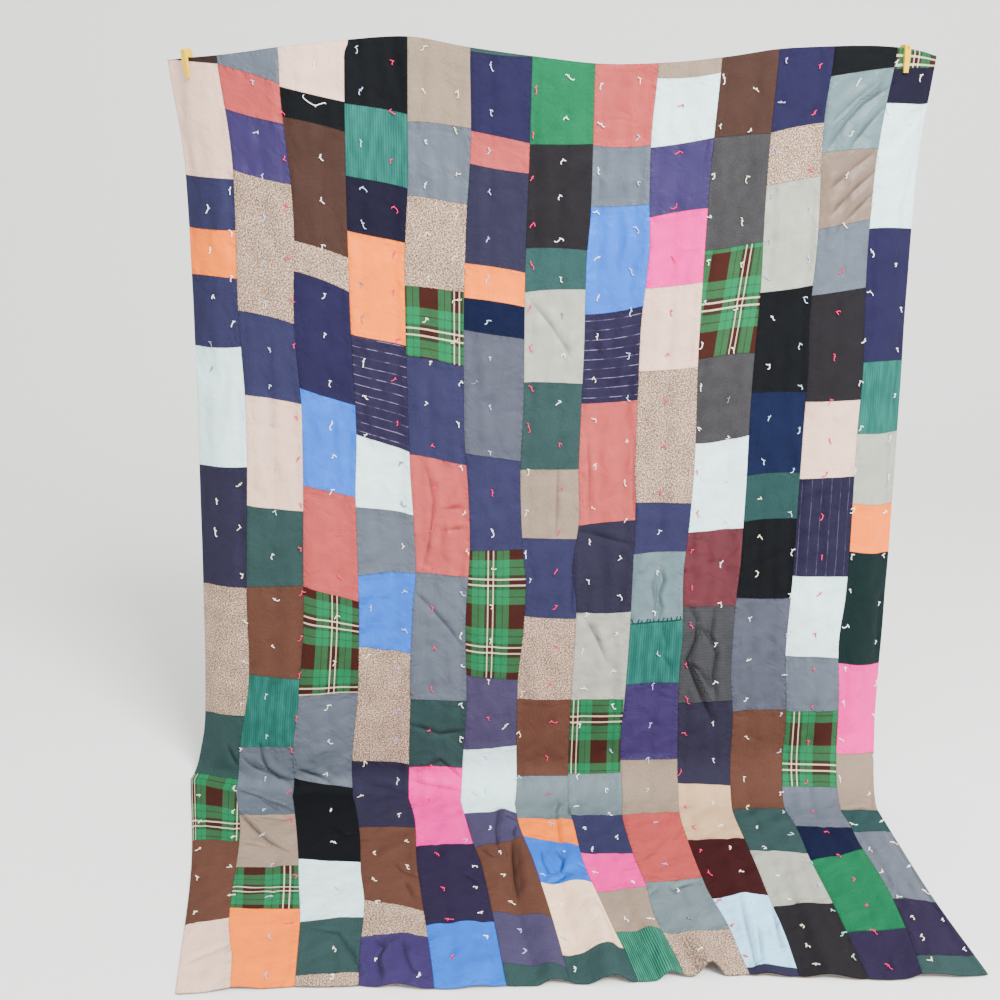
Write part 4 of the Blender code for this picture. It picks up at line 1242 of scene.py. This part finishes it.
def remap(tree, value, low, high, to_low, to_high):
    """Maps a value from one range to another, held at the ends."""
    return add_node(tree, "MapRange", {"Value": value, "From Min": low, "From Max": high,
                                       "To Min": to_low, "To Max": to_high}).outputs["Result"]


def maths(tree, operation, *values):
    return add_node(tree, "Math", dict(enumerate(values)), operation=operation).outputs[0]


def times(tree, a, b):
    return maths(tree, "MULTIPLY", a, b)


def noise(tree, place, scale, detail=2.0, **links):
    """Noise of the given number of lumps a metre, on the cloth's own coordinates."""
    return add_node(tree, "TexNoise", {"Vector": place, "Scale": scale, "Detail": detail, **links},
                    noise_dimensions="2D").outputs["Fac"]


def streaked_noise(tree, place, across, along, detail):
    """The same with its lumps drawn out: the number of them a metre across and along."""
    drawn_out = add_node(tree, "Mapping", {"Vector": place, "Scale": (across, along, 1)}).outputs[0]
    return noise(tree, drawn_out, 1.0, detail)


def object_noise(tree, scale, detail=2):
    """Noise of the given number of lumps a metre, on the object's own coordinates."""
    place = add_node(tree, "TexCoord", {}).outputs["Object"]
    return add_node(tree, "TexNoise", {"Vector": place, "Scale": scale, "Detail": detail}).outputs["Fac"]


def uv_parts(tree, name):
    """One UV map of the mesh, and its separate parts."""
    place = add_node(tree, "UVMap", {}, uv_map=name).outputs["UV"]
    return place, add_node(tree, "SeparateXYZ", {"Vector": place}).outputs


def bumped(tree, height, depth, under=None, **settings):
    """A normal that follows a height of the given depth, over another normal."""
    links = {"Height": height, "Distance": depth, "Strength": 1.0}
    if under is not None:
        links["Normal"] = under
    return add_node(tree, "Bump", links, **settings).outputs["Normal"]


def bands(tree, place, spacing, direction="X", distortion=0.0):
    """Soft bands with the given spacing in metres."""
    per_band = math.pi / 10 if direction != "DIAGONAL" else math.sqrt(2) * math.pi / 10
    return add_node(tree, "TexWave", {"Vector": place, "Scale": per_band / spacing,
                                      "Distortion": distortion, "Detail": 1.0},
                    bands_direction=direction).outputs["Fac"]


def from_line(tree, value, period):
    """Distance to the nearest of a row of lines that are one period apart."""
    return maths(tree, "PINGPONG", value, period / 2)


def mix(tree, share, a, b, blend="MIX"):
    """Mixes two colours."""
    made = add_node(tree, "Mix", {0: share, 6: a, 7: b}, data_type="RGBA", blend_type=blend)
    return made.outputs[2]


def shaded(tree, colour, value):
    """A colour made lighter or darker by a value."""
    return add_node(tree, "HueSaturation", {"Color": colour, "Value": value}).outputs["Color"]


def rgba(colour):
    return (*colour, 1.0)


# Each weave returns the cloth's colour and its height from 0 to 1. `place` is the cloth's
# own coordinates in metres, `x` and `v` their two parts, across and along the strip.
def weave_suiting(tree, colour, place, x, v):
    """Wool twill: fine slanting ribs, drawn 2.2 mm apart so that they show, and slight slubs."""
    slubs = noise(tree, place, 220, 3)
    ribs = bands(tree, place, 2.2 * MM, "DIAGONAL", 0.6)
    value = times(tree, remap(tree, slubs, 0.25, 0.75, 0.90, 1.10), remap(tree, ribs, 0, 1, 0.95, 1.03))
    return shaded(tree, rgba(colour), value), ribs


def weave_lining(tree, colour, place, x, v):
    """Cotton sateen: threads drawn 1.6 mm apart, with a slight streak along the piece."""
    streaks = streaked_noise(tree, place, 260, 18, 2)
    threads = bands(tree, place, 1.6 * MM, "X", 0.3)
    return shaded(tree, rgba(colour), remap(tree, streaks, 0.2, 0.8, 0.965, 1.03)), threads


def weave_tweed(tree, colour, place, x, v):
    """Tweed: cream and dark flecks 2 to 4 mm wide on a brown ground, and clouds of both."""
    threads = bpy.context.scene.quilt_threads
    ground = noise(tree, place, 320, 2.0, Roughness=0.6)
    flecks = noise(tree, place, 300, 2.5, Roughness=0.7)
    clouds = remap(tree, noise(tree, place, 22, 2), *NOISE_SPAN, 0.90, 1.10)
    base = mix(tree, remap(tree, ground, 0.42, 0.54, 0.1, 1), rgba(threads.tweed_dark), rgba(colour))
    light = remap(tree, flecks, 0.50, 0.64, 0, 0.85)
    return shaded(tree, mix(tree, light, base, rgba(threads.tweed_light)), clouds), flecks


def weave_felted(tree, colour, place, x, v):
    """Milled wool: a mottled, hairy surface with no clear thread."""
    hairs = noise(tree, place, 380, 4, Roughness=0.65)
    clouds = noise(tree, place, 40, 2)
    value = times(tree, remap(tree, hairs, *NOISE_SPAN, 0.75, 1.3),
                  remap(tree, clouds, *NOISE_SPAN, 0.92, 1.08))
    return shaded(tree, rgba(colour), value), hairs


def weave_ribbed(tree, colour, place, x, v):
    """Ribbed wool: uneven level ribs 7.5 mm apart, with painted shade in the groove between them."""
    uneven = times(tree, noise(tree, place, 40), 6 * MM)
    groove = from_line(tree, maths(tree, "ADD", v, uneven), 7.5 * MM)
    hairs = noise(tree, place, 300, 3)
    # painted shade in the groove, times an uneven tone of the hairs
    shade = times(tree, remap(tree, groove, 0, 1.3 * MM, 0.89, 1.0),
                  remap(tree, hairs, *NOISE_SPAN, 0.88, 1.12))
    return shaded(tree, rgba(colour), shade), remap(tree, groove, 0, 2 * MM, 0, 1)


def weave_corduroy(tree, colour, place, x, v, wale_shade=0.86, wale_highlight=1.06):
    """Corduroy: raised wales 5.5 mm apart down the strip, with painted shade between them and a painted
    highlight on them, and paler where the pile is rubbed.
    """
    wales = bands(tree, place, 5.5 * MM, "X", 0.8)
    rubbed = streaked_noise(tree, place, 70, 14, 3)
    # painted shade between the wales and painted highlight on them, times the rubbed streaks
    value = times(tree, remap(tree, wales, 0.1, 0.7, wale_shade, wale_highlight),
                  remap(tree, rubbed, 0.35, 0.75, 0.85, 1.30))
    return shaded(tree, rgba(colour), value), wales


def weave_rubbed_corduroy(tree, colour, place, x, v):
    """The same corduroy, its wales standing apart more: deeper painted shade between them and a stronger
    painted highlight on them.
    """
    return weave_corduroy(tree, colour, place, x, v, 0.55, 1.25)


def weave_pinstripe(tree, colour, place, x, v, strongest=0.65):
    """Wool with faint broken lines 22 mm apart, level on the strip."""
    line = remap(tree, from_line(tree, v, 22 * MM), 0.5 * MM, 1.1 * MM, 1, 0)
    broken = remap(tree, noise(tree, place, 35, 2), 0.42, 0.60, 0.05, strongest)
    ground, ribs = weave_suiting(tree, colour, place, x, v)
    threads = bpy.context.scene.quilt_threads
    return mix(tree, times(tree, line, broken), ground, rgba(threads.pinstripe_line)), ribs


def weave_pinstripe_turned(tree, colour, place, x, v):
    """The same wool with fainter lines that run down the strip."""
    return weave_pinstripe(tree, colour, place, v, x, 0.2)


TARTAN_REPEAT = (124, 170)
TARTAN_STOPS = ((4.2, "brown"), (7.0, "cream"), (13.0, "dark"), (26.0, "green"), (27.5, "dark"),
                (41.0, "green"), (62.0, "brown"))
TARTAN_ALONG = 1.33         # the stops along the piece are this much longer


def tartan_thread(tree, value, repeat, stretch, colours):
    """Colour of the threads that run one way, by their distance from the cream pair."""
    distance = remap(tree, from_line(tree, value, repeat * MM), 0, repeat * MM / 2, 0, 1)
    ramp = add_node(tree, "ValToRGB", {"Fac": distance})
    band = ramp.color_ramp
    band.interpolation = "CONSTANT"
    start = 0.0
    for index, (end, name) in enumerate(TARTAN_STOPS):
        stop = band.elements[0] if index == 0 else band.elements.new(min(start, 0.999))
        stop.color = rgba(colours[name])
        start = end * stretch / (repeat / 2)
    band.elements.remove(band.elements[-1])
    return ramp.outputs["Color"]


def weave_tartan(tree, colour, place, x, v):
    """Tartan wool: the same bands of thread both ways, mixed where they cross."""
    threads = bpy.context.scene.quilt_threads
    brown = threads.tartan_brown
    dark = tuple(0.45 * b + 0.2 * g for b, g in zip(brown, colour))
    colours = {"green": colour, "brown": brown, "cream": threads.tartan_cream, "dark": dark}
    warp = tartan_thread(tree, x, TARTAN_REPEAT[0], 1.0, colours)
    weft = tartan_thread(tree, v, TARTAN_REPEAT[1], TARTAN_ALONG, colours)
    woven = mix(tree, 0.5, warp, weft)
    raised = mix(tree, 0.08, woven, mix(tree, 1.0, warp, weft, "LIGHTEN"))
    hairs = noise(tree, place, 320, 3)
    return shaded(tree, raised, remap(tree, hairs, *NOISE_SPAN, 0.9, 1.1)), hairs


# Finish of each weave: roughness, shine, how deep its surface is, how deep it crumples, and
# how deep the soft folds in it are.
FINISHES = {
    "suiting": (weave_suiting, 0.8, 0.1, 0.25 * MM, 3.0 * MM, 2.0 * MM),
    "satin": (weave_lining, 0.45, 0.35, 0.08 * MM, 3.5 * MM, 4.0 * MM),
    "lining": (weave_lining, 0.55, 0.2, 0.08 * MM, 4.0 * MM, 2.5 * MM),
    "tweed": (weave_tweed, 0.95, 0.05, 0.5 * MM, 2.0 * MM, 1.5 * MM),
    "felted": (weave_felted, 0.95, 0.05, 0.4 * MM, 2.0 * MM, 2.0 * MM),
    "ribbed": (weave_ribbed, 0.85, 0.1, 0.35 * MM, 2.5 * MM, 3.0 * MM),
    "corduroy": (weave_corduroy, 0.85, 0.1, 0.6 * MM, 2.0 * MM, 2.0 * MM),
    "rubbed_corduroy": (weave_rubbed_corduroy, 0.85, 0.1, 1.0 * MM, 2.0 * MM, 3.0 * MM),
    "pinstripe": (weave_pinstripe, 0.7, 0.12, 0.25 * MM, 4.0 * MM, 4.0 * MM),
    "pinstripe_turned": (weave_pinstripe_turned, 0.7, 0.12, 0.25 * MM, 4.0 * MM, 4.0 * MM),
    "tartan": (weave_tartan, 0.9, 0.08, 0.3 * MM, 2.0 * MM, 2.0 * MM),
}


PAINTED_SEAM_SHADE = 0.62           # how dark the painted shade makes the cloth in a seam
PINCH_REACH = 3.5 * MM      # the dark line of painted shade in the bottom of a crease
PAINTED_PINCH_SHADE = 0.42
DRAW_REACH = 8 * MM         # the softer painted shade on both sides of it
PAINTED_DRAW_SHADE = 0.72
CREASE_BUMP = 4 * MM
PUCKER_RUN = 16 * MM        # how far short puckers run out of a seam
UPRIGHT_FOLDS = 46 * MM     # spacing of the soft folds that run down the cloth
SLANTING_FOLDS = 58 * MM    # spacing of those that run aslant


def fabric_material(key):
    """The material of one fabric, made once and shared by its patches."""
    _, weave, label = FABRICS[key]
    made = bpy.data.materials.get(label)
    if made:
        return made
    work, roughness, shine, depth, crumple, fold = FINISHES[weave]
    material, tree, shader = new_material(label, roughness, shine)
    place, parts = uv_parts(tree, "cloth")
    _, seams = uv_parts(tree, "seams")
    to_seam = maths(tree, "MINIMUM", seams["X"], seams["Y"])

    colour = getattr(bpy.context.scene.quilt_fabrics, key)
    woven, height = work(tree, colour, place, parts["X"], parts["Y"])
    # Cloth is a little uneven in colour. Painted shade darkens it where it turns down into a seam or
    # crease.
    uneven = remap(tree, noise(tree, place, 9, 2), *NOISE_SPAN, 0.95, 1.05)
    # painted shade along the seams
    groove = remap(tree, to_seam, 0.2 * MM, 1.8 * MM, PAINTED_SEAM_SHADE, 1.0)
    _, crease_parts = uv_parts(tree, "creases")
    from_crease = maths(tree, "ABSOLUTE", crease_parts["X"])
    painted_crease_line = times(tree, remap(tree, from_crease, 0, PINCH_REACH, 1, 0), crease_parts["Y"])
    drawn_in = times(tree, remap(tree, from_crease, 0, DRAW_REACH, 1, 0), crease_parts["Y"])
    # Painted shade of the creases, strongest along their lines.
    dark = times(tree, remap(tree, painted_crease_line, 0, 1, 1.0, PAINTED_PINCH_SHADE),
                 remap(tree, drawn_in, 0, 1, 1.0, PAINTED_DRAW_SHADE))
    finished = shaded(tree, woven, times(tree, times(tree, uneven, groove), dark))
    tree.links.new(finished, shader.inputs["Base Color"])

    # Fine crumples all over, and short puckers that run out of the seams.
    soft = noise(tree, place, 22, 4, Roughness=0.5, Distortion=0.6)
    pucker = times(tree, noise(tree, place, 95, 2), remap(tree, to_seam, 0, PUCKER_RUN, 1.0, 0.0))
    crumpled = bumped(tree, maths(tree, "ADD", soft, pucker), crumple)
    # Soft folds that run down the cloth and aslant, and come and go.
    upright = times(tree, bands(tree, place, UPRIGHT_FOLDS, "X", 3.0),
                    remap(tree, noise(tree, place, 7), 0.4, 0.6, 0, 1))
    slanting = times(tree, bands(tree, place, SLANTING_FOLDS, "DIAGONAL", 3.5),
                     remap(tree, noise(tree, place, 8), 0.55, 0.35, 0, 1))
    folded = bumped(tree, maths(tree, "ADD", upright, slanting), fold, crumpled)
    creased = bumped(tree, drawn_in, CREASE_BUMP, folded, invert=True)
    tree.links.new(bumped(tree, height, depth, creased), shader.inputs["Normal"])
    return material


def thread_material(label, colour):
    """Spun yarn or thread: soft, rough and slightly uneven in colour."""
    material, tree, shader = new_material(label, 0.9, 0.1)
    fuzz = object_noise(tree, 900)
    tree.links.new(shaded(tree, rgba(colour), remap(tree, fuzz, *NOISE_SPAN, 0.85, 1.1)),
                   shader.inputs["Base Color"])
    tree.links.new(bumped(tree, fuzz, 0.5 * MM), shader.inputs["Normal"])
    return material


def peg_material():
    """Moulded polypropylene: smooth, waxy, and a little deeper in colour in places."""
    material, tree, shader = new_material("moulded yellow polypropylene", 0.4, 0.4)
    clouds = object_noise(tree, 60)
    grain = object_noise(tree, 1500)
    colour = bpy.context.scene.quilt_others.peg
    tree.links.new(shaded(tree, rgba(colour), remap(tree, clouds, *NOISE_SPAN, 0.92, 1.05)),
                   shader.inputs["Base Color"])
    tree.links.new(bumped(tree, grain, 0.05 * MM), shader.inputs["Normal"])
    return material


def floor_material():
    """Matt white studio paper with a faint tooth."""
    material, tree, shader = new_material("matt studio paper", 0.95, 0.1)
    tooth = object_noise(tree, 40, 3)
    colour = bpy.context.scene.quilt_others.floor
    tree.links.new(shaded(tree, rgba(colour), remap(tree, tooth, *NOISE_SPAN, 0.99, 1.01)),
                   shader.inputs["Base Color"])
    return material


# ------------------------------------------------------------------ operators
def declare_cloth(piece):
    """What every sheet of the quilt has in common."""
    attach(piece, "root")
    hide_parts("quilt")


class QUILT_OT_tie(bpy.types.Operator):
    """Tie the quilt's layers together with short lengths of yarn"""
    bl_idname = "quilt.tie"
    bl_label = "Tie with yarn"

    def execute(self, context):
        sizes = context.scene.quilt_sizes
        ties = tie_places()

        def rise_at(tie):
            x, s = np.array([tie["x"]]), np.array([tie["s"]])
            return front_rise(x, s, np.abs(np.sin(math.pi * x / STRIP_WIDTH)) ** CROWN_POWER, ties, sizes)

        for yarn in YARNS:
            chosen = [tie for tie in ties if tie["yarn"] == yarn]
            piece = tie_yarn(yarn, chosen, rise_at, sizes)
            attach(piece, "root")
            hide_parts("quilt")
        return {"FINISHED"}


class QUILT_OT_sew_strips(bpy.types.Operator):
    """Sew the thirteen strips of patches"""
    bl_idname = "quilt.sew_strips"
    bl_label = "Sew the strips"

    def execute(self, context):
        sizes = context.scene.quilt_sizes
        ties = tie_places()
        for number in range(1, STRIPS + 1):
            piece = sew_strip(number, ties, sizes)
            declare_cloth(piece)
        return {"FINISHED"}


class QUILT_OT_blanket_stitch(bpy.types.Operator):
    """Sew a blanket stitch along the top of one patch"""
    bl_idname = "quilt.blanket_stitch"
    bl_label = "Blanket stitch"

    def execute(self, context):
        piece = make_stitches(tie_places(), context.scene.quilt_sizes)
        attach(piece, "root")
        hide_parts("quilt")
        return {"FINISHED"}


class QUILT_OT_back(bpy.types.Operator):
    """Line the back of the quilt"""
    bl_idname = "quilt.back"
    bl_label = "Line the back"

    def execute(self, context):
        piece = make_backing(tie_places(), context.scene.quilt_sizes)
        threads = [bpy.data.objects[f"ties_{yarn}"] for yarn in YARNS]
        threads.append(bpy.data.objects["blanket_stitch"])
        declare_cloth(piece)
        return {"FINISHED"}


class QUILT_OT_pegs(bpy.types.Operator):
    """Give the two pegs their moulded plastic"""
    bl_idname = "quilt.pegs"
    bl_label = "Finish the pegs"

    def execute(self, context):
        material = peg_material()
        for name in ("peg_left", "peg_right"):
            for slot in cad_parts[name].material_slots:
                slot.material = material
        return {"FINISHED"}


def hang_lamp(name, power, size, place, target):
    """A large square lamp that points at a target."""
    lamp = bpy.data.lights.new(name, "AREA")
    lamp.size = size
    lamp.energy = power
    made = new_object(name, lamp)
    made.location = place
    made.rotation_euler = (Vector(target) - made.location).to_track_quat("-Z", "Y").to_euler()


# The camera looks level along +Y and down by its pitch.
CAMERA_PLACE = (-0.085, -2.2796, 1.44)
CAMERA_PITCH = math.radians(15)
SENSOR_WIDTH = 36
VIEW_END = 60               # farthest distance that the camera sees
FLOOR_CURVE = 1.5           # radius of the curve from floor to wall
FLOOR_STEPS = 12            # faces round that curve
FLOOR_SHIFT = (0, -2.0, -0.5 * MM)
# Side of each lamp, its place and the point that it faces.
LAMPS = {
    "key": (2.2, (2.4, -4.0, 5.2), (0, 0.3, 0.8)),
    "top": (2.0, (0.6, -1.8, 4.6), (0, -0.4, 0)),
}


class QUILT_OT_stage(bpy.types.Operator):
    """Set up the studio floor, light and camera"""
    bl_idname = "quilt.stage"
    bl_label = "Set the stage"

    def execute(self, context):
        stage = context.scene.quilt_stage
        mesh = bmesh.new()
        bmesh.ops.create_grid(mesh, x_segments=1, y_segments=1, size=stage.floor_size / 2)
        back = [edge for edge in mesh.edges if min(vert.co.y for vert in edge.verts) > 0]
        raised = bmesh.ops.extrude_edge_only(mesh, edges=back)
        wall = [part for part in raised["geom"] if isinstance(part, bmesh.types.BMVert)]
        bmesh.ops.translate(mesh, verts=wall, vec=(0, 0, stage.floor_size / 2))
        bmesh.ops.bevel(mesh, geom=back, offset=FLOOR_CURVE, segments=FLOOR_STEPS, profile=0.5,
                        affect="EDGES", material=-1)
        bmesh.ops.translate(mesh, verts=mesh.verts[:], vec=FLOOR_SHIFT)
        data = bpy.data.meshes.new("studio_floor")
        mesh.to_mesh(data)
        mesh.free()
        data.shade_smooth()
        data.materials.append(floor_material())
        new_object("studio_floor", data)

        world = bpy.data.worlds.new("studio")
        context.scene.world = world
        world.use_nodes = True
        sky = world.node_tree.nodes["Background"]
        sky.inputs["Color"].default_value = (1, 1, 1, 1)
        sky.inputs["Strength"].default_value = stage.daylight

        for name, (size, place, target) in LAMPS.items():
            hang_lamp(name, getattr(stage, f"{name}_power"), size, place, target)

        camera = bpy.data.cameras.new("camera")
        camera.lens = stage.lens
        camera.sensor_width = SENSOR_WIDTH
        camera.clip_end = VIEW_END
        view = new_object("camera", camera)
        view.location = CAMERA_PLACE
        view.rotation_euler = (QUARTER_TURN - CAMERA_PITCH, 0, 0)
        context.scene.camera = view
        return {"FINISHED"}


STEPS = (QUILT_OT_stage, QUILT_OT_tie, QUILT_OT_blanket_stitch, QUILT_OT_sew_strips, QUILT_OT_back,
         QUILT_OT_pegs)
GROUPS = {
    "quilt_sizes": QuiltSizes,
    "quilt_stage": StageSettings,
    "quilt_fabrics": FabricColours,
    "quilt_threads": ThreadColours,
    "quilt_yarns": YarnColours,
    "quilt_others": OtherColours,
}


class QUILT_PT_panel(bpy.types.Panel):
    """Sizes, colours and steps of the patchwork quilt"""
    bl_idname = "QUILT_PT_panel"
    bl_label = "Patchwork quilt"
    bl_space_type = "VIEW_3D"
    bl_region_type = "UI"
    bl_category = "Quilt"

    def draw(self, context):
        for step in STEPS:
            self.layout.operator(step.bl_idname)
        for name, group in GROUPS.items():
            box = self.layout.box()
            for setting in group.__annotations__:
                box.prop(getattr(context.scene, name), setting)


def register():
    for item in (*GROUPS.values(), *STEPS, QUILT_PT_panel):
        bpy.utils.register_class(item)
    for name, group in GROUPS.items():
        setattr(bpy.types.Scene, name, bpy.props.PointerProperty(type=group))


def unregister():
    for name in GROUPS:
        delattr(bpy.types.Scene, name)
    for item in (QUILT_PT_panel, *reversed(STEPS), *reversed(list(GROUPS.values()))):
        bpy.utils.unregister_class(item)


def main():
    register()
    bpy.ops.quilt.stage()
    bpy.ops.quilt.tie()
    bpy.ops.quilt.blanket_stitch()
    bpy.ops.quilt.sew_strips()
    bpy.ops.quilt.back()
    bpy.ops.quilt.pegs()


if __name__ == "__main__":
    main()
